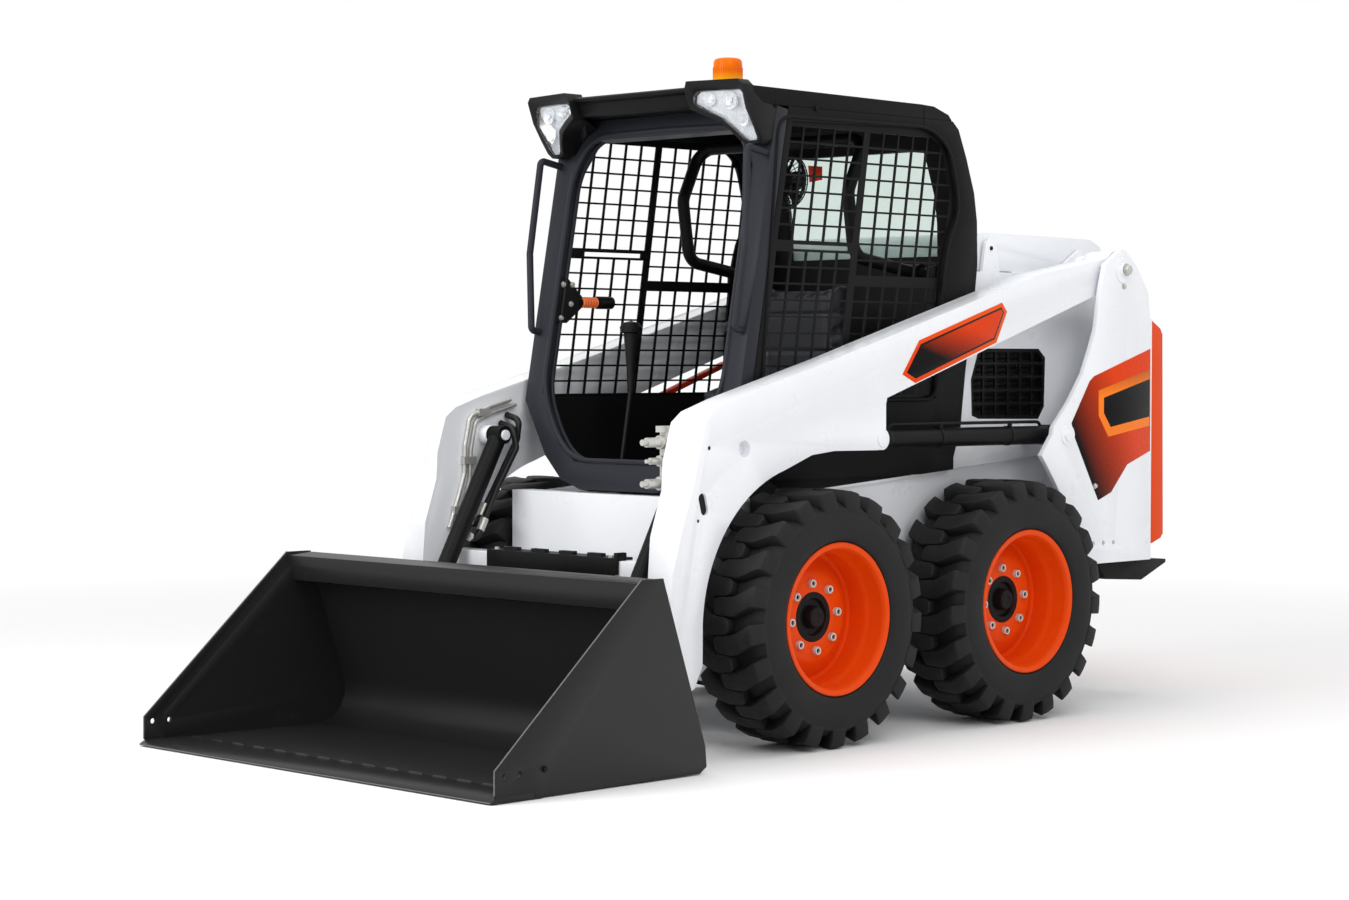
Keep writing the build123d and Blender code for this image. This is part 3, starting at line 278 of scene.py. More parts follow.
def tyre_rubber(name, axle_x):
    material, tree, shader = new_finish(name, srgb(26, 26, 27), 0.62, sheen=0.22)
    point = object_point(tree)
    parts = add_node(tree, "ShaderNodeSeparateXYZ", {"Vector": point}).outputs
    from_x = arithmetic(tree, "SUBTRACT", parts["X"], axle_x)
    from_z = arithmetic(tree, "SUBTRACT", parts["Z"], AXLE_Z)
    square_x = arithmetic(tree, "MULTIPLY", from_x, from_x)
    square_z = arithmetic(tree, "MULTIPLY", from_z, from_z)
    radius = arithmetic(tree, "SQRT", arithmetic(tree, "ADD", square_x, square_z))
    rings = arithmetic(tree, "SINE", arithmetic(tree, "MULTIPLY", radius, 2 * math.pi / RING_PITCH))
    past_bead = spread(tree, radius, 0.262, 0.268)
    before_tread = spread(tree, radius, 0.322, 0.316)
    on_wall = arithmetic(tree, "MULTIPLY", past_bead, before_tread)
    grain = noise(tree, point, 300.0, 5.0, 0.7)
    raised = arithmetic(tree, "MULTIPLY", rings, arithmetic(tree, "MULTIPLY", on_wall, 0.16))
    wire_bump(tree, shader, arithmetic(tree, "ADD", raised, grain), 0.25, 0.0012)
    chalk = arithmetic(tree, "MULTIPLY", spread(tree, noise(tree, point, 7.0, 5.0), 0.35, 0.8), 0.6)
    grey = blend_colours(tree, chalk, srgb(23, 23, 24), srgb(34, 34, 35))
    on_tread = spread(tree, radius, 0.345, 0.386)
    specks = spread(tree, noise(tree, point, 26.0, 6.0, 0.7), 0.48, 0.85, 0.0, 0.12)
    dusty = arithmetic(tree, "MULTIPLY", on_tread, specks)
    tree.links.new(blend_colours(tree, dusty, grey, srgb(92, 84, 76)), shader.inputs["Base Color"])
    tree.links.new(spread(tree, grain, 0.2, 0.8, 0.54, 0.74), shader.inputs["Roughness"])
    return material


front_axle = (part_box("rim_front_left")[0].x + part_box("rim_front_left")[1].x) / 2
rear_axle = (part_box("rim_rear_left")[0].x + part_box("rim_rear_left")[1].x) / 2
rubber = {
    "front": tyre_rubber("tyre_rubber_front", front_axle),
    "rear": tyre_rubber("tyre_rubber_rear", rear_axle),
}
print("axles at x", round(front_axle, 3), round(rear_axle, 3))

# %% [markdown]
# ## Bare metals
# The rods are ground and chromed, the couplers are zinc plated and a little cloudy, and the engine is
# a painted casting. One recipe serves them all: a noise, stretched forward on the rods, moves the
# gloss, and a soft cloud darkens the colour here and there.


# %% Metals
def plain_metal(name, colour, roughness, streak, bump=0.04, metallic=1.0):
    material, tree, shader = new_finish(name, colour, roughness, metallic=metallic)
    point = object_point(tree)
    lines = noise(tree, stretched(tree, point, streak), 4.0, 5.0, 0.6)
    polish = spread(tree, lines, 0.3, 0.7, roughness * 0.75, roughness * 1.35)
    tree.links.new(polish, shader.inputs["Roughness"])
    cloud = spread(tree, noise(tree, point, 60.0, 4.0), 0.35, 0.8)
    darker = [channel * 0.8 for channel in colour]
    tree.links.new(blend_colours(tree, cloud, colour, darker), shader.inputs["Base Color"])
    wire_bump(tree, shader, lines, bump, 0.0006)
    return material


bright_trim = plain_metal("bright_trim", srgb(248, 249, 251), 0.25, (60.0, 60.0, 60.0), 0.02, 0.15)
chrome_rod = plain_metal("chrome_rod", srgb(226, 227, 230), 0.10, (30.0, 400.0, 400.0), 0.02)
zinc_steel = plain_metal("zinc_steel", srgb(196, 195, 190), 0.40, (60.0, 60.0, 60.0), 0.10, 0.55)
nut_steel = plain_metal("nut_steel", srgb(214, 212, 206), 0.35, (60.0, 60.0, 60.0), 0.05, 0.35)
cast_iron = plain_metal("engine_iron", srgb(70, 70, 72), 0.6, (40.0, 40.0, 40.0), 0.5, 0.3)
metals = (bright_trim, chrome_rod, zinc_steel, nut_steel, cast_iron)
print("metals:", [metal.name for metal in metals])

# %% [markdown]
# ## Plastics, rubber hose and vinyl
# What comes out of a mould or a calender is matt with a fine grain. The grain's size and depth tell
# the pieces apart: fine on a plastic housing, coarser on vinyl, coarsest on a hose. It is drawn as
# bump, and the same noise moves the gloss.


# %% Plastics, rubber hose and vinyl
def moulded_plastic(name, colour, roughness, grain_scale, strength, sheen=0.2):
    material, tree, shader = new_finish(name, colour, roughness, sheen=sheen)
    point = object_point(tree)
    grain = noise(tree, point, grain_scale, 3.0, 0.6)
    dulled = spread(tree, grain, 0.3, 0.7, roughness - 0.06, roughness + 0.08)
    tree.links.new(dulled, shader.inputs["Roughness"])
    mottled = spread(tree, noise(tree, point, 12.0, 4.0), 0.3, 0.8)
    lighter = [channel * 1.25 for channel in colour]
    tree.links.new(blend_colours(tree, mottled, colour, lighter), shader.inputs["Base Color"])
    wire_bump(tree, shader, grain, strength, 0.0008)
    return material


black_plastic = moulded_plastic("black_plastic", srgb(14, 14, 15), 0.46, 700.0, 0.10)
hose_rubber = moulded_plastic("hose_rubber", srgb(18, 18, 19), 0.48, 260.0, 0.25, 0.3)
seat_vinyl = moulded_plastic("seat_vinyl", srgb(34, 35, 40), 0.50, 430.0, 0.30, 0.3)
orange_rubber = moulded_plastic("bellows_rubber", srgb(232, 112, 52), 0.5, 500.0, 0.10, 0.4)
print("mouldings:", [made.name for made in (black_plastic, hose_rubber, seat_vinyl, orange_rubber)])

# %% [markdown]
# ## Lenses and glass
# A lens lets most light through and a coloured one only some, so the shader's transmission is set from
# how solid the moulding looks. The beacon is paler near its foot, so a lens's colour may change with
# height.


# %% Lenses and glass
def clear_shell(name, colour, roughness, alpha, glow=0.0, low_colour=None, low=0.0, high=1.0):
    """Clear or tinted moulding that lets light through; it may change colour with height."""
    material, tree, shader = new_finish(name, colour, roughness, sheen=0.4)
    shader.inputs["Transmission Weight"].default_value = 1.0 - alpha
    shader.inputs["IOR"].default_value = 1.2
    shader.inputs["Emission Strength"].default_value = glow
    point = object_point(tree)
    wander = noise(tree, point, 8.0, 3.0)
    tree.links.new(spread(tree, wander, 0.3, 0.8, roughness, roughness + 0.05), shader.inputs["Roughness"])
    shader.inputs["Emission Color"].default_value = (*colour, 1.0)
    if low_colour:
        height = add_node(tree, "ShaderNodeSeparateXYZ", {"Vector": point}).outputs["Z"]
        shade = blend_colours(tree, spread(tree, height, low, high), low_colour, colour)
        tree.links.new(shade, shader.inputs["Base Color"])
        tree.links.new(shade, shader.inputs["Emission Color"])
    return material


BEACON_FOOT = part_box("beacon")[0].z
amber_lens = clear_shell(
    "amber_plastic", srgb(232, 108, 2), 0.2, 0.85, 0.08,
    low_colour=srgb(250, 168, 16), low=BEACON_FOOT + 0.03, high=BEACON_FOOT + 0.052,
)
lamp_lens = clear_shell("lamp_lens", srgb(246, 248, 250), 0.03, 0.02)
red_lens = clear_shell("red_lens", srgb(190, 16, 12), 0.14, 0.75)
tinted_glass = clear_shell("tinted_glass", srgb(214, 228, 222), 0.02, 0.02)
print("beacon stands on", round(BEACON_FOOT, 3))

# %% [markdown]
# ## Which finish goes where
# Each solid that came ready made gets its finish here, by name. Assigning a material to an object is
# enough: its mesh is never touched.

# %% Dress the solids
PAINTED = {
    white_paint: (
        "main_frame", "upright_left", "upright_right", "lift_arm_left", "lift_arm_right", "cross_tube",
        "engine_cover",
    ),
    orange_paint: ("tailgate",),
    charcoal_paint: (
        "cab_side_left", "cab_side_right", "cab_front", "cab_roof", "cab_rear", "grab_handles",
    ),
    black_paint: (
        "axle_hubs", "cab_floor", "rear_bumper", "side_grilles", "side_screens", "arm_step", "seat_bar",
    ),
    bucket_paint: ("bucket_shell", "cutting_edge", "mount_frame"),
    cast_iron: ("engine_block",),
    zinc_steel: ("arm_hydraulics",),
    black_plastic: ("control_levers", "work_lights", "post_latch", "cab_fan"),
    amber_lens: ("beacon",),
    lamp_lens: ("light_lenses",),
    red_lens: ("tail_lamps",),
    tinted_glass: ("rear_window",),
    seat_vinyl: ("seat_cushion", "seat_back"),
}
SIDES = (("left", 1), ("right", -1))


def dress(name, material):
    mesh = nodes[name].data
    mesh.materials.clear()
    mesh.materials.append(material)


for material, names in PAINTED.items():
    for name in names:
        dress(name, material)
for end in ("front", "rear"):
    for name, s in SIDES:
        dress(f"tyre_{end}_{name}", rubber[end])
        dress(f"rim_{end}_{name}", orange_paint)
        dress(f"hub_{end}_{name}", black_paint)
for name, s in SIDES:
    dress(f"tilt_hose_{name}", hose_rubber)
    for kind in ("lift", "tilt"):
        dress(f"{kind}_barrel_{name}", black_paint)
        dress(f"{kind}_rod_{name}", chrome_rod)
print("finishes named in the table:", len(PAINTED))

# %% [markdown]
# ## Helpers for shapes
# A bmesh is a mesh under construction. Three small builders cover most of the fittings here: a shape
# turned on a lathe, an outline pushed along one direction, and a round bar carried along a path.
# Profiles, radii and bevels are in millimetres. `at` turns a place given as forward of mid-wheelbase,
# left and up, also in millimetres, into Blender's metres.
# A finished shape has its doubles merged, its normals turned outward and, where a bevel is given,
# its sharp edges bevelled, because no real edge is so sharp that it catches no light.

# %% Shape helpers
MIDDLE = -0.259       # mid-wheelbase, in metres forward of the machine's middle
SHARP = math.radians(30)
ASIDE = Vector((0.31, 0.52, 0.79))       # a direction that no bar here starts along
UP = Vector((0, 0, 1))


def at(x, y, z):
    return Vector((MIDDLE + x / 1000, y / 1000, z / 1000))


def add_lathe(shape, profile, centre, axis, start, steps=48):
    """Turns (along the axis, away from it) about the axis through centre."""
    axis, start = Vector(axis).normalized(), Vector(start).normalized()
    other = axis.cross(start)
    turns = [2 * math.pi * step / steps for step in range(steps)]
    ways = [start * math.cos(turn) + other * math.sin(turn) for turn in turns]
    rings = []
    for along, away in profile:
        middle = centre + axis * along / 1000
        ring = [shape.verts.new(middle + way * away / 1000) for way in ways] if away else None
        rings.append(ring or [shape.verts.new(middle)] * steps)
    for inner, outer in zip(rings, rings[1:]):
        for step in range(steps):
            corners = dict.fromkeys((inner[step - 1], inner[step], outer[step], outer[step - 1]))
            if len(corners) > 2:
                shape.faces.new(list(corners))


def add_prism(shape, outline, depth):
    near = [shape.verts.new(point) for point in outline]
    far = [shape.verts.new(point + depth) for point in outline]
    shape.faces.new(near)
    shape.faces.new(far[::-1])
    for place in range(len(near)):
        shape.faces.new((near[place - 1], near[place], far[place], far[place - 1]))


def add_side_plate(shape, outline, y_from, y_to):
    """Outline of (forward, up), from one width to another."""
    add_prism(shape, [at(x, y_from, z) for x, z in outline], Vector((0, (y_to - y_from) / 1000, 0)))


def add_block(shape, low, high):
    (x0, y0, z0), (x1, y1, z1) = low, high
    outline = [at(x0, y0, z0), at(x1, y0, z0), at(x1, y1, z0), at(x0, y1, z0)]
    add_prism(shape, outline, UP * (z1 - z0) / 1000)


def rounded(points, bend, steps=6):
    """The path with each inner corner turned into a smooth bend."""
    path = [points[0]]
    for before, corner, after in zip(points, points[1:], points[2:]):
        into, out = before - corner, after - corner
        enter = corner + into * min(0.48, bend / 1000 / into.length)
        leave = corner + out * min(0.48, bend / 1000 / out.length)
        for step in range(steps + 1):
            share = step / steps
            path.append(enter * (1 - share) ** 2 + corner * 2 * share * (1 - share) + leave * share**2)
    return path + [points[-1]]


def add_bar(shape, path, radius, sides=12):
    """Round bar along a path, with closed ends; each ring keeps its turn from the one before."""
    lean = ASIDE.copy()
    rings = []
    for place, point in enumerate(path):
        way = (path[min(place + 1, len(path) - 1)] - path[max(place - 1, 0)]).normalized()
        lean = (lean - way * lean.dot(way)).normalized()
        other = way.cross(lean)
        turns = [2 * math.pi * side / sides for side in range(sides)]
        spokes = [lean * math.cos(turn) + other * math.sin(turn) for turn in turns]
        rings.append([shape.verts.new(point + spoke * radius / 1000) for spoke in spokes])
    shape.faces.new(rings[0])
    shape.faces.new(rings[-1][::-1])
    for inner, outer in zip(rings, rings[1:]):
        for side in range(sides):
            shape.faces.new((inner[side - 1], inner[side], outer[side], outer[side - 1]))


def attach(piece, body, slot, *replaced):
    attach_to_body(piece, body)
    if replaced:
        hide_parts(*replaced)
    return piece


def shape_mesh(name, shape, material, bevel=0.0):
    """Cleans a shape up and returns it as an object at the origin."""
    bmesh.ops.remove_doubles(shape, verts=shape.verts, dist=0.00001)
    bmesh.ops.recalc_face_normals(shape, faces=shape.faces)
    if bevel:
        sharp = [edge for edge in shape.edges if edge.is_manifold and edge.calc_face_angle() > SHARP]
        bmesh.ops.bevel(
            shape, geom=sharp, offset=bevel / 1000, offset_type="OFFSET", segments=2, profile=0.5,
            affect="EDGES", clamp_overlap=True,
        )
    mesh = bpy.data.meshes.new(name)
    shape.to_mesh(mesh)
    shape.free()
    mesh.materials.append(material)
    mesh.shade_smooth()
    mesh.set_sharp_from_angle(angle=SHARP)
    piece = bpy.data.objects.new(name, mesh)
    bpy.context.scene.collection.objects.link(piece)
    return piece


print("mid-wheelbase is at x", round(at(0, 0, 0).x, 3))

# %% [markdown]
# ## Trees for what repeats
# Lugs, wheel nuts, bolts, wires and slats are one shape many times. Three small Geometry Nodes trees
# set those copies out: round an axis, along a row, and on marked points. Each ends by making its
# copies real, because an exported model keeps no instances, and by giving them their material.


# %% Trees: ring, row and marked points
def new_tree(name, sockets):
    tree = bpy.data.node_groups.new(name, "GeometryNodeTree")
    tree.is_modifier = True
    for label, kind in (("Geometry", "NodeSocketGeometry"), *sockets, ("Finish", "NodeSocketMaterial")):
        tree.interface.new_socket(label, in_out="INPUT", socket_type=kind)
    tree.interface.new_socket("Geometry", in_out="OUTPUT", socket_type="NodeSocketGeometry")
    return tree, add_node(tree, "NodeGroupInput").outputs


def close_tree(tree, given, points, copied, rotation=None):
    """Sets a copy on each point, makes the copies real, and gives them their material."""
    inputs = {"Points": points, "Instance": copied}
    if rotation:
        inputs["Rotation"] = rotation
    copies = add_node(tree, "GeometryNodeInstanceOnPoints", inputs).outputs["Instances"]
    real = add_node(tree, "GeometryNodeRealizeInstances", {"Geometry": copies}).outputs["Geometry"]
    painted = add_node(tree, "GeometryNodeSetMaterial", {"Geometry": real, "Material": given["Finish"]})
    add_node(tree, "NodeGroupOutput", {"Geometry": painted.outputs["Geometry"]})
    return tree


def ring_of_copies():
    """Copies round an axis through Centre; the shape is made about the origin, pointing at turn 0."""
    tree, given = new_tree("ring_of_copies", (
        ("Copies", "NodeSocketInt"), ("First", "NodeSocketFloat"), ("Axis", "NodeSocketVector"),
        ("Centre", "NodeSocketVector"),
    ))
    line = {"Count": given["Copies"], "Start Location": given["Centre"], "Offset": (0, 0, 0)}
    marks = add_node(tree, "GeometryNodeMeshLine", line).outputs["Mesh"]
    number = add_node(tree, "GeometryNodeInputIndex").outputs["Index"]
    part = arithmetic(tree, "DIVIDE", arithmetic(tree, "MULTIPLY", number, 2 * math.pi), given["Copies"])
    turn = {"Axis": given["Axis"], "Angle": arithmetic(tree, "ADD", part, given["First"])}
    rotation = add_node(tree, "FunctionNodeAxisAngleToRotation", turn).outputs["Rotation"]
    return close_tree(tree, given, marks, given["Geometry"], rotation)


def row_of_copies():
    tree, given = new_tree("row_of_copies", (("Copies", "NodeSocketInt"), ("Step", "NodeSocketVector")))
    line = {"Count": given["Copies"], "Start Location": (0, 0, 0), "Offset": given["Step"]}
    marks = add_node(tree, "GeometryNodeMeshLine", line).outputs["Mesh"]
    return close_tree(tree, given, marks, given["Geometry"])


def copies_on_marks():
    """A copy of Fitting on each vertex, its +Z turned along the vertex's own `way`."""
    tree, given = new_tree("copies_on_marks", (("Fitting", "NodeSocketObject"),))
    fitting = add_node(tree, "GeometryNodeObjectInfo", {"Object": given["Fitting"]}).outputs["Geometry"]
    way = add_node(tree, "GeometryNodeInputNamedAttribute", {"Name": "way"}, data_type="FLOAT_VECTOR")
    facing = {"Vector": way.outputs["Attribute"]}
    turned = add_node(tree, "FunctionNodeAlignRotationToVector", facing, axis="Z")
    return close_tree(tree, given, given["Geometry"], fitting, turned.outputs["Rotation"])


RING = ring_of_copies()
ROW = row_of_copies()
MARKS = copies_on_marks()
print("trees:", [tree.name for tree in (RING, ROW, MARKS)])


def grown(piece, tree, finish, **values):
    """Runs a tree on a piece and keeps the result as the piece's own plain mesh."""
    values["Finish"] = finish
    modifier = piece.modifiers.new(tree.name, "NODES")
    modifier.node_group = tree
    for socket in tree.interface.items_tree:
        if socket.in_out == "INPUT" and socket.name in values:
            modifier[socket.identifier] = values[socket.name]
    graph = bpy.context.evaluated_depsgraph_get()
    mesh = bpy.data.meshes.new_from_object(piece.evaluated_get(graph), depsgraph=graph)
    piece.modifiers.remove(modifier)
    mesh.name = piece.name
    piece.data = mesh
    return piece


def ring_of(name, shape, finish, copies, axis, centre, first=0.0, bevel=0.0):
    seed = shape_mesh(name, shape, finish, bevel)
    return grown(seed, RING, finish, Copies=copies, Axis=axis, Centre=tuple(centre), First=first)


def row_of(name, shape, finish, copies, step):
    seed = shape_mesh(name, shape, finish)
    return grown(seed, ROW, finish, Copies=copies, Step=tuple(value / 1000 for value in step))


def fittings(name, fitting, finish, marks):
    """Copies of a fitting object at marks of (forward, left, up, way it points)."""
    mesh = bpy.data.meshes.new(name)
    mesh.from_pydata([tuple(at(x, y, z)) for x, y, z, way in marks], [], [])
    ways = mesh.attributes.new("way", "FLOAT_VECTOR", "POINT")
    for place, (x, y, z, way) in enumerate(marks):
        ways.data[place].vector = way
    piece = bpy.data.objects.new(name, mesh)
    bpy.context.scene.collection.objects.link(piece)
    return grown(piece, MARKS, finish, Fitting=fitting)


# %% [markdown]
# ## Tyres
# These are wide lugged tyres for soft ground. A smooth carcass is one profile turned about the axle.
# On it stand two rows of lugs, one on each shoulder, half a pitch apart, whose bent bars push mud
# outward. The sizes come first: half of the carcass's profile, and the stations of one lug.

# %% Tyre sizes, in millimetres
AXLES = {"front": 451, "rear": -451}
WHEEL_Y, TYRE_R = 590, 386
LUGS = 21
LUG_FIRST = math.radians(-91.64)
# columns: outward from the tyre's middle, away from the axle
CARCASS = (
    (109, 209.2), (112, 213), (112.5, 229.5), (117, 230.5), (122, 233), (126.5, 239), (129, 247),
    (130, 256), (131.5, 270), (131.8, 286), (131.2, 300), (129.5, 314), (127.5, 322), (127.9, 326),
    (126.5, 329), (122, 331), (114, 336), (104, 343), (88, 349), (60, 352), (0, 353),
)
# columns: outward, along the tread, half width, top, foot
LUG_STATIONS = (
    (-30, -20, 12, 381, 350), (-26, -20, 20, 383, 350), (-16, -20, 26, 384, 350), (38, -20, 29, 384.5, 350),
    (56, -15, 30, 384.5, 349), (110, 14, 31, 382, 342), (119, 16, 31, 378, 334), (126, 17, 30, 358, 324),
    (129, 18, 29, 334, 322),
)
LUG_SLOPE = 6         # how much further a lug's foot reaches than its top, on each side
LUG_CROWN = 0.8       # how much higher the middle of its top is
print("stations in a lug:", len(LUG_STATIONS), "points in half a carcass:", len(CARCASS))

# %% [markdown]
# ## From a profile to a tyre
# The carcass is the half profile and its mirror image, turned on the lathe. One lug of each row is
# lofted through its stations, with a curved top and sloping sides, and the ring tree sets out the
# other twenty. A lug made in the tyre's own polar coordinates follows the tread's curve by itself.


# %% Build the tyres
def add_lug(shape, side, first):
    """Lofts one lug through its stations, from the middle of the tread out over the shoulder."""
    rows = []
    for outward, along, half, top, foot in LUG_STATIONS:
        row = []
        wide = half + LUG_SLOPE
        for reach, radius in ((-wide, foot), (-half, top), (0, top + LUG_CROWN), (half, top), (wide, foot)):
            turn = first + (along + reach) / TYRE_R
            point = Vector((radius * math.cos(turn), side * outward, radius * math.sin(turn)))
            row.append(shape.verts.new(point / 1000))
        rows.append(row)
    shape.faces.new(rows[0])
    shape.faces.new(rows[-1][::-1])
    for inner, outer in zip(rows, rows[1:]):
        for place in range(5):
            shape.faces.new((inner[place - 1], inner[place], outer[place], outer[place - 1]))


def wheel_centre(end, s):
    return at(AXLES[end], s * WHEEL_Y, TYRE_R)


profile = [*CARCASS, *[(-outward, away) for outward, away in CARCASS[-2::-1]], CARCASS[0]]
pitch = 2 * math.pi / LUGS
for end in ("front", "rear"):
    for name, s in SIDES:
        centre = wheel_centre(end, s)
        pair = bmesh.new()
        add_lug(pair, s, LUG_FIRST)
        add_lug(pair, -s, LUG_FIRST + pitch / 2)
        lugs = ring_of(f"tyre_lugs_{end}_{name}", pair, rubber[end], LUGS, (0, -1, 0), centre, bevel=2.5)
        carcass = bmesh.new()
        add_lathe(carcass, profile, centre, (0, s, 0), (1, 0, 0), 126)
        tyre = shape_mesh(f"tyre_carcass_{end}_{name}", carcass, rubber[end])
        attach(tyre, f"wheel_{end}_{name}", "tyre_rubber", f"tyre_{end}_{name}")
        attach(lugs, f"wheel_{end}_{name}", "tyre_rubber")
print("faces in a tyre:", len(tyre.data.polygons), "in its lugs:", len(lugs.data.polygons))

# %% [markdown]
# ## Rims, nuts and hubs
# A rim is a rolled steel barrel with a pressed disc welded deep inside it. The disc's middle stands
# proud to meet the hub, and its edge falls back to the barrel. Turned on a lathe, one closed profile
# gives the flange, the two steps of the barrel and the disc. Eight nuts hold it, each a bright collar
# round a dark stud.

# %% Rims, wheel nuts, hubs and valves
NUTS, NUT_CIRCLE = 8, 102
NUT_TURN = math.radians(-6)       # the first nut stands this far round; below straight ahead is minus
# columns: outward from the tyre's middle, away from the axle
RIM = (
    (8, 75), (8, 126), (3, 139), (-19, 174), (-26, 186), (-26, 196), (-100, 197), (-110, 206),
    (-114, 222), (-119, 228), (-122, 227), (-121, 216), (-116, 208), (112, 209), (114, 222),
    (117, 227.5), (120, 228), (122.5, 225), (122, 218), (119, 211.5), (112, 207), (103, 205),
    (62, 204), (58, 202), (46, 197.5), (42, 196.5), (-12, 196), (-17, 193), (-18, 187), (-13, 178),
    (9, 141), (15, 128), (15, 75), (8, 75),
)
HUB = (
    (4, 0), (4, 75), (16, 75), (17, 73), (17, 57), (14, 55), (6, 52), (6, 36), (26, 33), (33, 30),
    (35, 26), (35, 13), (33, 11), (33, 0),
)
NUT = ((0, 7), (0, 13.5), (9, 13.5), (13, 12), (14, 10), (13, 7.5), (9, 7), (0, 7))
STUD = ((0, 0), (0, 7.2), (7, 7.2), (8, 6), (8, 0))

for end in ("front", "rear"):
    for name, s in SIDES:
        body = f"wheel_{end}_{name}"
        centre = wheel_centre(end, s)
        out = Vector((0, s, 0))
        barrel = bmesh.new()
        add_lathe(barrel, RIM, centre, out, (1, 0, 0), 96)
        valve_at = centre + out * 0.056 + Vector((math.cos(0.9), 0, math.sin(0.9))) * 0.2
        add_lathe(barrel, ((0, 0), (0, 5), (16, 4), (20, 3), (20, 0)), valve_at, out, (1, 0, 0), 10)
        rim = shape_mesh(f"rim_barrel_{end}_{name}", barrel, orange_paint)
        attach(rim, body, "orange_paint", f"rim_{end}_{name}")
        hub = bmesh.new()
        add_lathe(hub, HUB, centre, out, (1, 0, 0), 64)
        hub_cap = shape_mesh(f"hub_cap_{end}_{name}", hub, black_paint)
        attach(hub_cap, body, "black_paint", f"hub_{end}_{name}")
        foot = Vector((NUT_CIRCLE / 1000, s * 0.015, 0))
        for label, form, steps, finish, slot in (
            ("wheel_nuts", NUT, 24, nut_steel, "zinc_steel"),
            ("wheel_studs", STUD, 16, black_paint, "black_paint"),
        ):
            seed = bmesh.new()
            add_lathe(seed, form, foot, out, (1, 0, 0), steps)
            made = ring_of(f"{label}_{end}_{name}", seed, finish, NUTS, (0, -1, 0), centre, NUT_TURN)
            attach(made, body, slot)
print("faces in a rim:", len(rim.data.polygons), "in a hub cap:", len(hub_cap.data.polygons))

# %% [markdown]
# ## Bolts
# Bolts hold covers, plates and brackets all over the machine. A bolt head is a short six-sided lathe
# shape on a round washer face. Each place is written once, with the way that the bolt points, and the
# tree for marked points sets a head there. Each row of places is one piece on its body, so bolts move
# with it.

# %% Bolt heads and where they sit
FORWARD, LEFT = Vector((1, 0, 0)), Vector((0, 1, 0))


def bolt_head(name, across, tall):
    """A six-sided head with a washer face, standing on the origin and pointing up."""
    shape = bmesh.new()
    flat = across / 1.732
    head = ((0.4, 0), (0.4, flat), (tall * 0.8, flat), (tall, flat * 0.86), (tall, 0))
    washer = ((0, 0), (0, flat * 1.25), (1.2, flat * 1.25), (1.2, 0))
    origin = Vector((0, 0, 0))
    add_lathe(shape, washer, origin, UP, FORWARD, 20)
    add_lathe(shape, [(along + 1, away) for along, away in head], origin, UP, FORWARD, 6)
    return shape_mesh(name, shape, zinc_steel)


small_bolt = bolt_head("small_bolt", 13, 6)
large_bolt = bolt_head("large_bolt", 30, 14)

# columns: name, fitting, finish, slot, body, places of (forward, left, up, way)
BOLTED = [
    ("pivot_bolts", large_bolt, zinc_steel, "zinc_steel", "chassis",
     [(-1056, s * 642, 1453, LEFT * s) for name, s in SIDES]),
    ("keeper_bolts", small_bolt, zinc_steel, "zinc_steel", "chassis",
     [(-1058, s * 630, 1398, LEFT * s) for name, s in SIDES]
     + [(-903, s * 631, 736, LEFT * s) for name, s in SIDES]),
    ("cab_bolts", small_bolt, black_paint, "black_paint", "chassis",
     [(300, s * 474, 1915, LEFT * s) for name, s in SIDES]
     + [(-575, s * 449, 1517, LEFT * s) for name, s in SIDES]),
    ("bumper_bolts", small_bolt, zinc_steel, "zinc_steel", "chassis",
     [(-1300, y, 470, UP) for y in (-480, -160, 160, 480)]),
    ("latch_bolts", small_bolt, zinc_steel, "zinc_steel", "chassis",
     [(545, -391, 1392, LEFT), (505, -391, 1392, LEFT), (512, -391, 1330, LEFT), (555, -391, 1285, LEFT)]),
    ("arm_bolts", small_bolt, zinc_steel, "zinc_steel", "lift_arms",
     [(x, y, 568, UP) for x in (885, 925) for y in (-280, 230)]),
    ("edge_bolts", small_bolt, black_paint, "black_paint", "bucket",
     [(1703, s * 793, 77, LEFT * s) for name, s in SIDES]),
    ("tail_bolts", small_bolt, zinc_steel, "zinc_steel", "tailgate_door",
     [(-1327.5, s * 560, z, -FORWARD) for name, s in SIDES for z in (620, 1180)]),
]
for name, fitting, finish, slot, body, marks in BOLTED:
    attach(fittings(name, fitting, finish, marks), body, slot)
for spare in (small_bolt, large_bolt):
    bpy.data.objects.remove(spare)
print("bolts:", sum(len(row[-1]) for row in BOLTED))

# %% [markdown]
# ## Beacon
# The beacon is a ribbed amber drum with a nearly flat crown, on a thin black foot. Its ribs bend the
# light of the lamp inside, so they are modelled: a drum on the lathe, and a ring of slim bars just
# proud of it.

# %% Beacon
BEACON = at(530, 324, 1968)
BEACON_RIBS = 40
DRUM = ((7, 0), (7, 44.5), (9, 45), (70, 44), (82, 43), (88, 40), (92, 33), (94, 18), (94, 0))
drum = bmesh.new()
add_lathe(drum, DRUM, BEACON, UP, FORWARD, 80)
attach(shape_mesh("beacon_drum", drum, amber_lens), "chassis", "amber_plastic", "beacon")
foot = bmesh.new()
add_lathe(foot, ((-0.4, 0), (-0.4, 45), (6, 45), (7, 43), (7, 0)), BEACON, UP, FORWARD, 64)
add_lathe(foot, ((7.2, 0), (7.2, 16), (60, 12), (62, 0)), BEACON, UP, FORWARD, 24)
attach(shape_mesh("beacon_foot", foot, black_plastic), "chassis", "black_plastic")
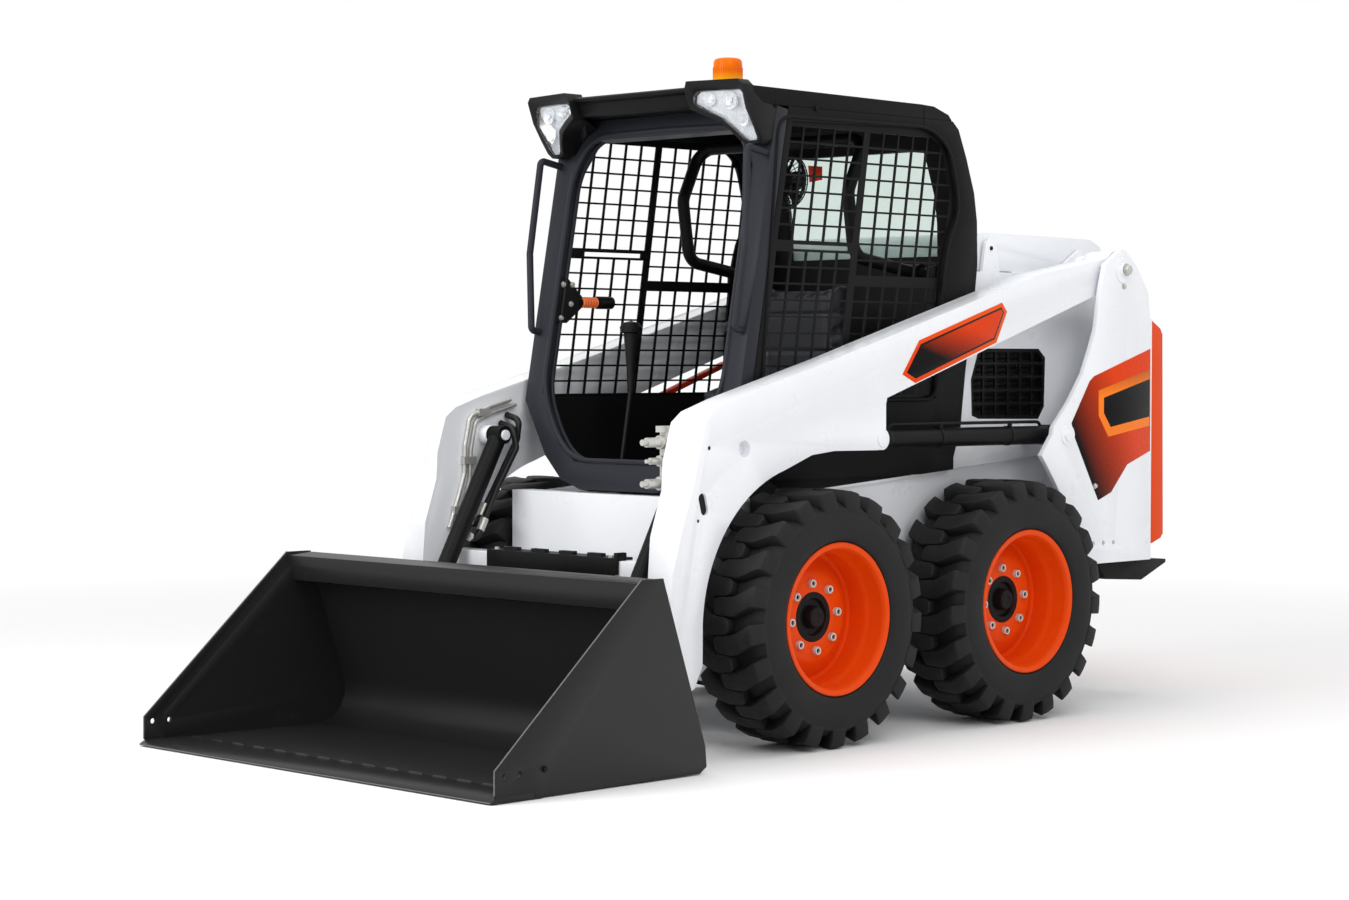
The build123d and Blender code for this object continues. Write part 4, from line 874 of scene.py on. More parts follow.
# one rib, in metres from the beacon's foot: a slim wedge whose root is buried in the drum
RIB_ROOT, RIB_TIP, RIB_HALF = 0.0436, 0.0455, 0.0012
RIB_LOW, RIB_TALL = 0.010, 0.054
rib = bmesh.new()
wedge = [(RIB_ROOT, -RIB_HALF), (RIB_ROOT, RIB_HALF), (RIB_TIP, 0)]
add_prism(rib, [Vector((x, y, RIB_LOW)) for x, y in wedge], UP * RIB_TALL)
ribs = ring_of("beacon_ribs", rib, amber_lens, BEACON_RIBS, (0, 0, 1), BEACON)
attach(ribs, "chassis", "amber_plastic")
print("faces in the beacon's ribs:", len(ribs.data.polygons))

# %% [markdown]
# ## Badge panels
# The machine wears two stickers a side in black and orange: a long six-sided one on each arm, and a
# larger one on each rear upright. They are plain here, with no words or signs. Each is a stack of very
# thin plates, so every colour keeps a clean edge, and the orange fades to black along one direction.
# The arm panel's orange edge is painted a little lighter towards its rear end, and the side panel's
# inner orange line is painted bright low down and dark above: painted highlights on printed orange.


# %% Badge panels
def faded_print(name, first, second, way, low, high):
    """Glossy film whose colour runs from first to second along a direction."""
    material, tree, shader = new_finish(name, first, 0.28, sheen=0.1)
    point = object_point(tree)
    reach = add_node(tree, "ShaderNodeVectorMath", {0: point, 1: way}, operation="DOT_PRODUCT")
    wander = arithmetic(tree, "MULTIPLY", noise(tree, point, 4.0, 2.0), 0.03)
    share = spread(tree, arithmetic(tree, "ADD", reach.outputs["Value"], wander), low, high)
    tree.links.new(blend_colours(tree, share, first, second), shader.inputs["Base Color"])
    grain = noise(tree, point, 240.0, 2.0)
    tree.links.new(spread(tree, grain, 0.3, 0.7, 0.24, 0.34), shader.inputs["Roughness"])
    return material


def shrunk(outline, by):
    """Each corner of a closed outline moved inward by the same distance from both its edges."""
    moved = []
    for place, corner in enumerate(outline):
        here = Vector(corner)
        before, after = Vector(outline[place - 1]), Vector(outline[(place + 1) % len(outline)])
        into, out = (here - before).normalized(), (after - here).normalized()
        normal = Vector((-into.y, into.x)) + Vector((-out.y, out.x))
        moved.append(tuple(here + normal.normalized() * by / max(0.3, math.cos(into.angle(out) / 2))))
    return moved


FILM_ORANGE, FILM_BLACK = srgb(214, 60, 6), srgb(12, 12, 13)
ARM_PANEL = ((40, 1108), (-39, 1213), (-447, 1336), (-473, 1307), (-419, 1208), (-22, 1081))
SIDE_PANEL = (
    (-776, 947), (-872, 1083), (-895, 1099), (-1210, 1191), (-1212, 846), (-1083, 803), (-994, 713),
    (-922, 688), (-786, 911),
)
SIDE_INNER = ((-921, 1052), (-1206, 1120), (-1206, 931), (-976, 898), (-922, 968))
SIDE_BLACK = ((-950, 1028), (-1206, 1089), (-1206, 962), (-988, 930), (-950, 977))
ALONG_ARM = (-0.24, 0.0, 0.97)
# the arm panel's printed orange edge, painted a little lighter towards its rear end: a painted highlight
arm_orange_and_highlight = faded_print("panel_orange", srgb(234, 84, 14), srgb(226, 66, 8), (1, 0, 0), -0.7, -0.2)
arm_fade = faded_print("panel_fade_arm", FILM_BLACK, FILM_ORANGE, ALONG_ARM, 1.24, 1.36)
side_fade = faded_print("panel_fade_side", FILM_BLACK, srgb(220, 62, 6), (-1.0, 0.0, 0.6), 1.62, 1.94)
# the inner line is printed orange, painted bright low down as a highlight and dark above it
inner_print_and_highlight = faded_print(
    "panel_fade_inner", srgb(250, 128, 36), srgb(70, 22, 6), (0.15, 0.0, 1.0), 0.86, 0.98
)
film_black = faded_print("panel_black", srgb(10, 10, 11), srgb(36, 37, 40), (-0.2, 0.0, 1.0), 1.25, 1.45)
# columns: name, outline, y of the surface, height above it, finish, slot, body
PANELS = [
    ("arm_panel_edge", ARM_PANEL, 600, 0.8, arm_orange_and_highlight, "orange_paint", "lift_arms"),
    ("arm_panel_line", shrunk(ARM_PANEL, 13), 600, 1.2, film_black, "black_plastic", "lift_arms"),
    ("arm_panel_fade", shrunk(ARM_PANEL, 19), 600, 1.6, arm_fade, "orange_paint", "lift_arms"),
    ("side_panel_edge", SIDE_PANEL, 630, 0.8, side_fade, "orange_paint", "chassis"),
    ("side_panel_line", SIDE_INNER, 630, 1.2, inner_print_and_highlight, "orange_paint", "chassis"),
    ("side_panel_black", SIDE_BLACK, 630, 1.6, film_black, "black_plastic", "chassis"),
]
for label, outline, y, proud, finish, slot, body in PANELS:
    for name, s in SIDES:
        film = bmesh.new()
        add_side_plate(film, outline, s * (y - 0.5), s * (y + proud))
        attach(shape_mesh(f"{label}_{name}", film, finish, 0.2), body, slot)
print("arm panel inside:", [tuple(round(v) for v in corner) for corner in shrunk(ARM_PANEL, 19)])

# %% [markdown]
# ## Softened edges
# Plate that has been cut, folded and sprayed has edges with a small radius, and that radius draws a
# thin line of light round every part. The ready made solids have perfectly sharp edges, and their
# meshes may not be changed, so each one here is copied, its doubles merged, its flat faces joined
# again, and its sharp edges given a small bevel. The copy then stands for the solid.

# %% Soften the plates
MERGE = 0.00002
FLAT = math.radians(1.0)
# columns: solid, bevel in millimetres, finish, slot
SOFTENED = [
    ("bucket_shell", 1.6, bucket_paint, "bucket_paint"),
    ("cutting_edge", 1.2, bucket_paint, "bucket_paint"),
    ("mount_frame", 1.5, bucket_paint, "bucket_paint"),
    ("lift_arm_left", 3.0, white_paint, "white_paint"),
    ("lift_arm_right", 3.0, white_paint, "white_paint"),
    ("upright_left", 2.0, white_paint, "white_paint"),
    ("upright_right", 2.0, white_paint, "white_paint"),
    ("main_frame", 2.5, white_paint, "white_paint"),
    ("engine_cover", 4.0, white_paint, "white_paint"),
    ("tailgate", 5.0, orange_paint, "orange_paint"),
    ("cab_front", 4.0, charcoal_paint, "charcoal_paint"),
    # the roof, the sides and the rear take the darker copy of the charcoal, which paints shade
    ("cab_roof", 6.0, roof_paint, "charcoal_paint"),
    ("cab_side_left", 3.0, roof_paint, "charcoal_paint"),
    ("cab_side_right", 3.0, roof_paint, "charcoal_paint"),
    ("cab_rear", 2.0, roof_paint, "charcoal_paint"),
    ("rear_bumper", 3.0, black_paint, "black_paint"),
    ("arm_step", 1.5, black_paint, "black_paint"),
    ("cross_tube", 3.0, white_paint, "white_paint"),
]


def softened(name, bevel, finish, slot):
    shape = bmesh.new()
    shape.from_mesh(nodes[name].data)
    bmesh.ops.remove_doubles(shape, verts=shape.verts, dist=MERGE)
    bmesh.ops.dissolve_limit(shape, angle_limit=FLAT, verts=shape.verts, edges=shape.edges)
    piece = shape_mesh(f"{name}_soft", shape, finish, bevel)
    return attach(piece, nodes[name]["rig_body"], slot, name)


for row in SOFTENED:
    made = softened(*row)
    print(row[0], "faces:", len(made.data.polygons))

# %% [markdown]
# ## Lamp housings
# Each work light sits in a black hood that stands proud of the cab's upper corner. Its opening is wide
# at the top and runs down to a narrow tail. The hood is one closed shape: an outer outline, an opening
# inside it, the walls of the pocket, and a back that tapers into the cab. The clear lens and the
# bright reflector use the same opening: the lens's face lies 1 mm inside the opening's lip, and the
# reflector 15 mm behind the lens's face.

# %% Housings, lenses and reflectors
# columns: left and up of the hood's outline, left and up of the opening
HOOD = (
    (254, 1962, 274, 1946), (268, 1987, 290, 1958), (458, 1985, 444, 1957), (475, 1970, 454, 1946),
    (478, 1905, 460, 1898), (476, 1850, 458, 1850), (474, 1812, 455, 1816), (462, 1797, 446, 1808),
    (424, 1795, 416, 1808), (390, 1808, 404, 1817), (370, 1840, 384, 1845), (344, 1866, 357, 1877),
    (300, 1887, 305, 1904), (257, 1906, 270, 1923),
)
HOOD_EDGE = [row[:2] for row in HOOD]
OPENING = [row[2:] for row in HOOD]
CAB_LEAN = math.radians(10.5)
LENS_BEND = 1898      # the lens is nearly upright above this height and runs back below it
BROW = 1900           # the hood's overhang grows with the height above this
BROW_LOW, BROW_HIGH = 7, 26       # least and most overhang


def cab_face(z):
    """Forward place of the cab's leaning front at a height."""
    return 632 - math.tan(CAB_LEAN) * (z - 1042)


def lens_face(y, z):
    front = 593 + (z - LENS_BEND) * (0.15 if z > LENS_BEND else 0.69)
    return front + (450 - y) * 0.13


def hood_face(y, z):
    """The hood stands proud of the lens, and furthest along its brow."""
    return lens_face(y, z) + min(BROW_HIGH, max(BROW_LOW, (z - BROW) * 0.34))


def add_cap_pair(shape, front, back):
    """Closes a loop of points at both ends and joins the two by walls."""
    shape.faces.new(front)
    shape.faces.new(back[::-1])
    for place in range(len(front)):
        shape.faces.new((front[place - 1], front[place], back[place], back[place - 1]))


def opening_loop(shape, s, back, inward=0.0):
    """The opening's outline, some way behind the lens's face and drawn in towards its middle."""
    middle = Vector((410, 1895))
    loop = []
    for y, z in OPENING:
        place = Vector((y, z)).lerp(middle, inward)
        loop.append(shape.verts.new(at(lens_face(place.x, place.y) - back, s * place.x, place.y)))
    return loop


for name, s in SIDES:
    hood = bmesh.new()
    outer = [hood.verts.new(at(hood_face(y, z), s * y, z)) for y, z in HOOD_EDGE]
    rear = []
    for y, z in HOOD_EDGE:
        x = 579 if z > 1905 else cab_face(z) - 3
        rear.append(hood.verts.new(at(x, s * min(y, 472), z)))
    lip, floor_loop = opening_loop(hood, s, -4), opening_loop(hood, s, 26, 0.04)
    hood.faces.new(rear)
    hood.faces.new(floor_loop)
    for first, second in ((outer, rear), (outer, lip), (lip, floor_loop)):
        for place in range(len(HOOD)):
            hood.faces.new((first[place - 1], first[place], second[place], second[place - 1]))
    attach(shape_mesh(f"lamp_hood_{name}", hood, black_plastic, 3.0), "chassis", "black_plastic")
    lens = bmesh.new()
    add_cap_pair(lens, opening_loop(lens, s, -3, 0.008), opening_loop(lens, s, 1, 0.008))
    attach(shape_mesh(f"lamp_lens_{name}", lens, lamp_lens, 0.6), "chassis", "clear_lens")
    bowls = bmesh.new()
    add_cap_pair(bowls, opening_loop(bowls, s, 12, 0.015), opening_loop(bowls, s, 24, 0.03))
    for y, z, wide, deep in ((400, 1926, 25, 9), (330, 1932, 17, 8), (428, 1866, 15, 8)):
        seat = at(lens_face(y, z) - 13, s * y, z)
        bowl = (
            (1, 0), (deep * 0.25, wide * 0.55), (deep * 0.6, wide * 0.84), (deep, wide), (deep, wide + 2),
            (0, wide + 2), (0, 0),
        )
        add_lathe(bowls, bowl, seat, FORWARD, LEFT, 40)
        add_lathe(bowls, ((1, 0), (1, 6), (deep - 3, 5), (deep - 1, 0)), seat, FORWARD, LEFT, 20)
    attach(shape_mesh(f"lamp_bowls_{name}", bowls, bright_trim), "chassis", "chrome_rod")
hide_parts("work_lights")
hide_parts("light_lenses")
visor = bmesh.new()
VISOR = ((560, 1966), (616, 1974), (628, 1968), (626, 1958), (590, 1950), (560, 1948))
add_side_plate(visor, VISOR, -290, 290)
# the visor takes the darker copy of the cab's charcoal: painted shade
attach(shape_mesh("roof_visor", visor, roof_paint, 3.0), "chassis", "charcoal_paint")
tail, top = round(lens_face(450, 1808)), round(lens_face(450, 1958))
print("the lens runs from", tail, "mm forward at its tail to", top, "at its top")

# %% [markdown]
# ## Seals and seams of the cab
# The door opening and the side windows have a rolled rubber lip, which also rounds off their corners.
# A bar carried along the opening's outline makes each lip. Two slim upright strips cross each side of
# the roof where its pressings meet.

# %% Lips and seams
DOOR_EDGE = ((0, 838), (205, 838), (300, 907), (396, 1052), (396, 1745), (322, 1862), (0, 1868))
WINDOW_EDGE = (
    (540, 1030), (466, 1884), (-236, 1890), (-336, 1832), (-376, 1692), (-381, 1618), (-336, 1538),
    (-314, 1458), (-294, 1318), (-274, 1026), (540, 1030),
)


def front_at(y, z, off):
    """A place on the cab's leaning front face, some way proud of it."""
    return at(cab_face(z) + off * math.cos(CAB_LEAN), y, z + off * math.sin(CAB_LEAN))


def both_halves(edge):
    return list(edge) + [(-y, z) for y, z in reversed(edge[1:-1])] + [edge[0]]


lips = bmesh.new()
for off, radius in ((-3, 9), (-34, 7)):
    add_bar(lips, rounded([front_at(y, z, off) for y, z in both_halves(DOOR_EDGE)], 75, 8), radius)
attach(shape_mesh("door_lip", lips, charcoal_paint), "chassis", "charcoal_paint")
for name, s in SIDES:
    lip = bmesh.new()
    add_bar(lip, rounded([at(x, s * 474, z) for x, z in WINDOW_EDGE], 60, 6), 6)
    for x, low, high in ((478, 1906, 1962), (-212, 1898, 1954)):
        add_block(lip, (x, s * 470, low), (x + 3, s * 475.2, high))
    # the window lips take the darker copy of the cab's charcoal: painted shade
    attach(shape_mesh(f"window_lip_{name}", lip, roof_paint, 0.8), "chassis", "charcoal_paint")
print("corners in the door's outline:", len(both_halves(DOOR_EDGE)))

# %% [markdown]
# ## Painted shade in holes and behind grilles
# The slots and small holes in the arms look black, because the box behind them is closed and dark
# inside. A thin dark plug a little way down each hole paints that shade. Behind the two side grilles a
# dark liner paints the shade inside the engine bay and hides its bright inside, as the radiator's
# shroud does, with a row of slats just outside it.

# %% Shade plugs and grille liners
SLOT_AT, SLOT_LONG, SLOT_WIDE, SLOT_TURN = Vector((912, 738)), 65, 30, math.radians(75)
SLOT_STEPS = 10       # steps round each end of the slot
SLATS, SLAT_STEP = 12, 15


def slot_outline():
    """Outline of a round-ended slot."""
    along = Vector((math.cos(SLOT_TURN), math.sin(SLOT_TURN)))
    across = Vector((-along.y, along.x))
    reach, half = (SLOT_LONG - SLOT_WIDE) / 2, SLOT_WIDE / 2
    outline = []
    for end in (1, -1):
        for step in range(SLOT_STEPS + 1):
            turn = math.pi * (step / SLOT_STEPS - 0.5)
            point = along * (reach + half * math.cos(turn)) + across * half * math.sin(turn)
            outline.append(SLOT_AT + point * end)
    return outline


# the dark sheet behind each side grille paints the shade inside the engine bay
LINER = ((-466, 950), (-466, 1188), (-905, 1188), (-905, 950))
for name, s in SIDES:
    # dark plugs down each slot and hole paint the shade inside the closed arm
    plugs = bmesh.new()
    add_side_plate(plugs, slot_outline(), s * 570, s * 592)
    for x, z, radius, depth in ((888, 899, 6.2, 2), (933, 691, 5.2, 2)):
        plug = ((-20, 0), (-20, radius), (-depth, radius), (-depth, 0))
        add_lathe(plugs, plug, at(x, s * 600, z), LEFT * s, FORWARD, 24)
    attach(shape_mesh(f"arm_plugs_{name}", plugs, black_plastic), "lift_arms", "black_plastic")
    # painted shade behind the grille
    liner = bmesh.new()
    add_side_plate(liner, LINER, s * 420, s * 426)
    slat = [at(-505, s * 429, 990), at(-835, s * 429, 990), at(-835, s * 433, 994), at(-505, s * 433, 994)]
    slats = bmesh.new()
    add_prism(slats, slat, UP * 0.005)
    attach(shape_mesh(f"bay_liner_{name}", liner, black_plastic, 1.0), "chassis", "black_plastic")
    slats = row_of(f"radiator_slats_{name}", slats, black_paint, SLATS, (0, 0, SLAT_STEP))
    attach(slats, "chassis", "black_paint")
print("slats on a side:", SLATS, "over", (SLATS - 1) * SLAT_STEP, "mm")

# %% [markdown]
# ## Door latch
# The latch on the right post pushes a black cap through an orange rubber bellows. A bellows is one fold
# repeated, so one ring is made and the row tree sets out the others.

# %% Latch bellows and cap
FOLDS, FOLD_STEP = 6, 11.5
fold = bmesh.new()
FOLD = ((-5.5, 12), (-3.5, 15), (0, 18), (3.5, 15), (5.5, 12), (-5.5, 12))
add_lathe(fold, FOLD, at(402, -395, 1336), FORWARD, LEFT, 32)
folds = row_of("latch_bellows", fold, orange_rubber, FOLDS, (FOLD_STEP, 0, 0))
attach(folds, "chassis", "orange_paint")
cap = bmesh.new()
LATCH_CAP = ((-66, 0), (-66, 17), (-63, 20.5), (-4, 20.5), (-2, 18), (-2, 0))
add_lathe(cap, LATCH_CAP, at(397, -395, 1336), FORWARD, LEFT, 32)
attach(shape_mesh("latch_cap", cap, black_plastic, 0.8), "chassis", "black_plastic")
print("bellows:", FOLDS, "folds over", (FOLDS - 1) * FOLD_STEP, "mm")

# %% [markdown]
# ## Cab fan
# The fan is a bulged wire guard round five blades: one wire and one blade are made, and the ring tree
# turns them about the motor. Four plain rings hold the wires.

# %% Fan guard and blades
FAN = at(-323, -240, 1755)
FAN_WIRES, FAN_BLADES = 36, 5
wire = bmesh.new()
ARCH = ((14, 30), (16, 50), (14, 72), (6, 88), (0, 92), (-20, 93))
add_bar(wire, rounded([Vector((along / 1000, away / 1000, 0)) for along, away in ARCH], 14, 3), 1.4, 6)
attach(ring_of("fan_wires", wire, black_paint, FAN_WIRES, (1, 0, 0), FAN), "chassis", "black_paint")
rings = bmesh.new()
for along, away, thick in ((14, 30, 3), (16, 52, 1.4), (13, 74, 1.4), (-20, 93, 2.2)):
    turns = [2 * math.pi * step / 40 for step in range(41)]
    path = [FAN + Vector((along, away * math.cos(turn), away * math.sin(turn))) / 1000 for turn in turns]
    add_bar(rings, path, thick, 6)
attach(shape_mesh("fan_rings", rings, black_paint), "chassis", "black_paint")
blade = bmesh.new()
outline = [(-10, 16), (-2, 40), (4, 78), (-12, 82), (-18, 50), (-18, 20)]
near = [blade.verts.new(Vector((along, away, 14 - along)) / 1000) for along, away in outline]
far = [blade.verts.new(Vector((along - 2, away, 11 - along)) / 1000) for along, away in outline]
add_cap_pair(blade, near, far)
blades_at = FAN - FORWARD * 0.012
blades = ring_of("fan_blades", blade, black_plastic, FAN_BLADES, (1, 0, 0), blades_at)
attach(blades, "chassis", "black_plastic")
print("faces in the fan's blades:", len(blades.data.polygons))

# %% [markdown]
# ## Hydraulics
# Steel sleeves are crimped on where a hose meets its fitting, and a cylinder's mouth is closed by a
# gland nut. The four sleeves and the glands ride on their barrels. The pilot tubes over the lift
# cylinders are thin bars, held off the barrel by two clips.

# %% Sleeves, glands and pilot tubes
TILT_TOP, TILT_FOOT = Vector((785, 0, 915)), Vector((1080, 0, 375))
LIFT_BASE, LIFT_EYE = Vector((-755, 0, 907)), Vector((132, 0, 910))


def on_line(start, end, y, distance, off=0.0):
    """A place beside a cylinder: distance along it from start, and off to its rear or lower side."""
    way = (end - start).normalized()
    place = start + way * distance + Vector((way.z, 0, -way.x)) * off
    return at(place.x, y, place.z)


for name, s in SIDES:
    steel, gland = bmesh.new(), bmesh.new()
    for port, y in ((340, 418), (290, 444)):
        path = [on_line(TILT_TOP, TILT_FOOT, s * y, port - reach, 64) for reach in (36, 40, 74, 78)]
        add_bar(steel, path, 13.5, 16)
        add_bar(steel, [on_line(TILT_TOP, TILT_FOOT, s * y, port, off) for off in (26, 40)], 15, 6)
    sleeves = shape_mesh(f"tilt_sleeves_{name}", steel, zinc_steel, 1.2)
    attach(sleeves, f"tilt_barrel_body_{name}", "zinc_steel")
    closed = (TILT_FOOT - TILT_TOP).length - 110
    path = [on_line(TILT_TOP, TILT_FOOT, s * 430, closed - reach) for reach in (34, 2)]
    add_bar(gland, path, 31, 40)
    gland_nut = shape_mesh(f"tilt_gland_{name}", gland, black_paint, 1.5)
    attach(gland_nut, f"tilt_barrel_body_{name}", "black_paint")
    tubes = bmesh.new()
    path = [(60, 33), (70, 44), (300, 44), (640, 44), (806, 44), (822, 30)]
    points = [on_line(LIFT_BASE, LIFT_EYE, s * 562, along, -off) for along, off in path]
    add_bar(tubes, rounded(points, 14, 4), 5.5, 10)
    closed = (LIFT_EYE - LIFT_BASE).length - 45
    add_bar(tubes, [on_line(LIFT_BASE, LIFT_EYE, s * 550, closed - reach) for reach in (30, 2)], 33.5, 40)
    for along in (210, 560):
        clip = [on_line(LIFT_BASE, LIFT_EYE, s * 550, along + reach) for reach in (0, 14)]
        add_bar(tubes, clip, 32, 32)
        low, high = [on_line(LIFT_BASE, LIFT_EYE, s * 562, along + 7, -off) for off in (28, 46)]
        add_bar(tubes, [low, high], 8, 6)
    fitted = shape_mesh(f"lift_fittings_{name}", tubes, black_paint, 1.0)
    attach(fitted, f"lift_barrel_body_{name}", "black_paint")
print("tilt cylinder, eye to eye:", round((TILT_FOOT - TILT_TOP).length), "mm")

# %% [markdown]
# ## Welds on the bucket
# The wear edge is held to the floor by short welds with gaps between them. One weld is a low rounded
# bead a little wavy along its length, and the row tree repeats it across the bucket.

# %% Welds
WELDS, WELD_STEP = 15, 102
bead = bmesh.new()
sections = []
for step in range(11):
    y = -745 + 6.2 * step
    tall = (2.6 + 0.5 * (step % 2)) * min(1, step / 2 + 0.2, (10 - step) / 2 + 0.2)
    across = ((-7, -0.2), (-4, 0.9), (3, 1.2), (8, 0.1))
    sections.append([bead.verts.new(at(1736 + x, y, 18.6 + 1.5 * tall * rise)) for x, rise in across])
bead.faces.new(sections[0])
bead.faces.new(sections[-1][::-1])
for first, second in zip(sections, sections[1:]):
    for place in range(4):
        bead.faces.new((first[place - 1], first[place], second[place], second[place - 1]))
welds = row_of("edge_welds", bead, bucket_paint, WELDS, (0, WELD_STEP, 0))
attach(welds, "bucket", "bucket_paint")
print("welds:", WELDS, "at", WELD_STEP, "mm")

# %% [markdown]
# ## Edge highlights
# A thin bright line of light follows the front edges of the cheeks and the lip of the wear edge: a
# painted highlight. A slim pale bar laid along each edge paints it, without any painted map.

# %% Edge highlights
# pale bars on the cheeks' front edges and on the wear edge's lip paint the highlight along them
highlighted = bmesh.new()
for name, s in SIDES:
    add_bar(highlighted, [at(1876.5, s * 790, 24), at(1876.5, s * 790, 87), at(1345, s * 790, 555.5)], 2.2, 8)
add_bar(highlighted, [at(1889.5, -790, 5.5), at(1889.5, 790, 5.5)], 1.6, 6)
highlight_lines = attach(shape_mesh("bucket_worn_edges", highlighted, worn_edge), "bucket", "bucket_paint")
print("faces in the worn edges:", len(highlight_lines.data.polygons))

# %% [markdown]
# ## Lift-arm stop and window tag
# A red service stop is stored under the right arm. It keeps the raised arms up while the machine is
# being repaired, and it shows through the cab. A small orange tag hangs inside the rear window.

# %% Stop and tag
stop_red = moulded_plastic("stop_red", srgb(206, 50, 12), 0.4, 300.0, 0.05)
stop = bmesh.new()
STOP = ((-50, 1020), (-358, 1127), (-358, 1146), (-50, 1039))
add_side_plate(stop, STOP, -535, -565)
attach(shape_mesh("arm_stop", stop, stop_red, 3.0), "lift_arms", "orange_paint")
tag = bmesh.new()
corners = [at(-318, -120, 1800), at(-318, -58, 1794), at(-318, -58, 1750), at(-318, -114, 1744)]
add_prism(tag, corners, FORWARD * 0.003)
attach(shape_mesh("window_tag", tag, stop_red, 0.5), "chassis", "orange_paint")
print("the stop is", STOP[0][0] - STOP[1][0], "mm long")

# %% [markdown]
# ## Lever boots
# A rubber boot closes the foot of each drive lever: a cone of soft folds that get smaller as they rise.

# %% Lever boots
BOOT_FOLDS, BOOT_STEP = 6, 14
for name, s in SIDES:
    boot = bmesh.new()
    profile = [(0, 0), (0, 44)]
    for ring in range(BOOT_FOLDS):
        away = 42 - 5 * ring
        profile += [(6 + BOOT_STEP * ring, away), (13 + BOOT_STEP * ring, away - 7)]
    profile += [(92, 9), (92, 0)]
    add_lathe(boot, profile, at(440, s * 230, 638), UP, FORWARD, 32)
    attach(shape_mesh(f"lever_boot_{name}", boot, hose_rubber), "chassis", "hose_rubber")
print("folds in a boot:", BOOT_FOLDS)

# %% [markdown]
# ## Seat
# The seat is black vinyl over foam. Each cushion begins as a block a little smaller than its solid,
# with pulled-in sides. It is remeshed into even squares, then blown up gently as cloth with pressure
# inside and no gravity, and no point may move further than a cap. That gives a crowned top, soft
# corners and sides that pull in between them. Sewn channels are pressed in after the simulation,
# because the remesh would erase anything narrower than its squares.

# %% Seat helpers
VOXEL = 0.006
CLOTH_FRAMES = 20
CAP = 0.024           # furthest that a point of a cushion may move


def cushion_block(name, corners):
    """A block with slightly pulled-in sides: eight corners, cut finer so that it can bend."""
    shape = bmesh.new()
    made = [shape.verts.new(corner) for corner in corners]
    for face in ((0, 1, 2, 3), (7, 6, 5, 4), (0, 4, 5, 1), (1, 5, 6, 2), (2, 6, 7, 3), (3, 7, 4, 0)):
        shape.faces.new([made[place] for place in face])
    bmesh.ops.subdivide_edges(shape, edges=shape.edges, cuts=3, use_grid_fill=True)
    middle = sum((vert.co for vert in shape.verts), Vector()) / len(shape.verts)
    for vert in shape.verts:
        vert.co = middle + (vert.co - middle) * 0.97
    return shape_mesh(name, shape, seat_vinyl)


def blown_up(piece):
    """Remeshes the block and inflates it as cloth, then keeps the result as plain mesh."""
    remesh = piece.modifiers.new("remesh", "REMESH")
    remesh.mode = "VOXEL"
    remesh.voxel_size = VOXEL
    graph = bpy.context.evaluated_depsgraph_get()
    mesh = bpy.data.meshes.new_from_object(piece.evaluated_get(graph), depsgraph=graph)
    piece.modifiers.remove(remesh)
    piece.data = mesh
    start = [vert.co.copy() for vert in mesh.vertices]
    cloth = piece.modifiers.new("cloth", "CLOTH")
    cloth.settings.use_pressure = True
    cloth.settings.uniform_pressure_force = 4.0
    cloth.settings.effector_weights.gravity = 0.0
    cloth.settings.quality = 5
    cloth.point_cache.frame_start = 1
    cloth.point_cache.frame_end = CLOTH_FRAMES
    scene = bpy.context.scene
    for frame_number in range(1, CLOTH_FRAMES + 1):
        scene.frame_set(frame_number)
    graph = bpy.context.evaluated_depsgraph_get()
    moved = bpy.data.meshes.new_from_object(piece.evaluated_get(graph), depsgraph=graph)
    piece.modifiers.remove(cloth)
    scene.frame_set(1)
    for vert, before in zip(moved.vertices, start):
        step = vert.co - before
        if step.length > CAP:
            vert.co = before + step * (CAP / step.length)
    piece.data = moved
    return piece


def press_channels(piece, across, lines, depth, width):
    """Presses sewn lines into a cushion's face, where `across` measures along it."""
    for vert in piece.data.vertices:
        for line in lines:
            off = abs(across(vert.co) - line) / width
            if off < 1:
                vert.co -= vert.normal * depth * (1 - off * off) ** 2


def finished_cushion(piece, node):
    subdivide = piece.modifiers.new("smooth", "SUBSURF")
    subdivide.levels = subdivide.render_levels = 1
    graph = bpy.context.evaluated_depsgraph_get()
    mesh = bpy.data.meshes.new_from_object(piece.evaluated_get(graph), depsgraph=graph)
    piece.modifiers.remove(subdivide)
    piece.data = mesh
    mesh.materials.clear()
    mesh.materials.append(seat_vinyl)
    mesh.shade_smooth()
    attach(piece, "chassis", "seat_cover", node)
    print(piece.name, "faces:", len(mesh.polygons))


# %% [markdown]
# ## The two cushions
# The cushion and the backrest are the same kind of piece: a block that is given its eight corners,
# blown up, pressed along its sewn lines and finished. A pair of lines runs along each; one more
# crosses the cushion, and two cross the backrest.

# %% Cushion and backrest
seat_low = [at(-146, -212, 972), at(108, -212, 972), at(108, 212, 972), at(-146, 212, 972)]
seat_high = [at(-138, -208, 1038), at(116, -208, 1046), at(116, 208, 1046), at(-138, 208, 1038)]
seat = blown_up(cushion_block("seat_pad", seat_low + seat_high))
press_channels(seat, lambda place: abs(place.y), (0.145,), 0.007, 0.012)
press_channels(seat, lambda place: place.x, (MIDDLE + 0.02,), 0.005, 0.010)
finished_cushion(seat, "seat_cushion")

back_low = [at(-236, -206, 976), at(-176, -206, 976), at(-176, 206, 976), at(-236, 206, 976)]
back_high = [at(-184, -196, 1404), at(-134, -196, 1404), at(-134, 196, 1404), at(-184, 196, 1404)]
backrest = blown_up(cushion_block("seat_backrest", back_low + back_high))
press_channels(backrest, lambda place: abs(place.y), (0.135,), 0.007, 0.012)
press_channels(backrest, lambda place: place.z, (1.18, 1.30), 0.006, 0.010)
finished_cushion(backrest, "seat_back")

# %% [markdown]
# ## Studio floor
# The machine stands on a pale, matt floor. It fades into a white surround with distance from the
# machine, so no horizon shows: a mix shader goes from paint to plain light by that distance.

# %% Floor
FLOOR_SIZE = 60.0
FADE_FROM, FADE_TO = 2.6, 6.5

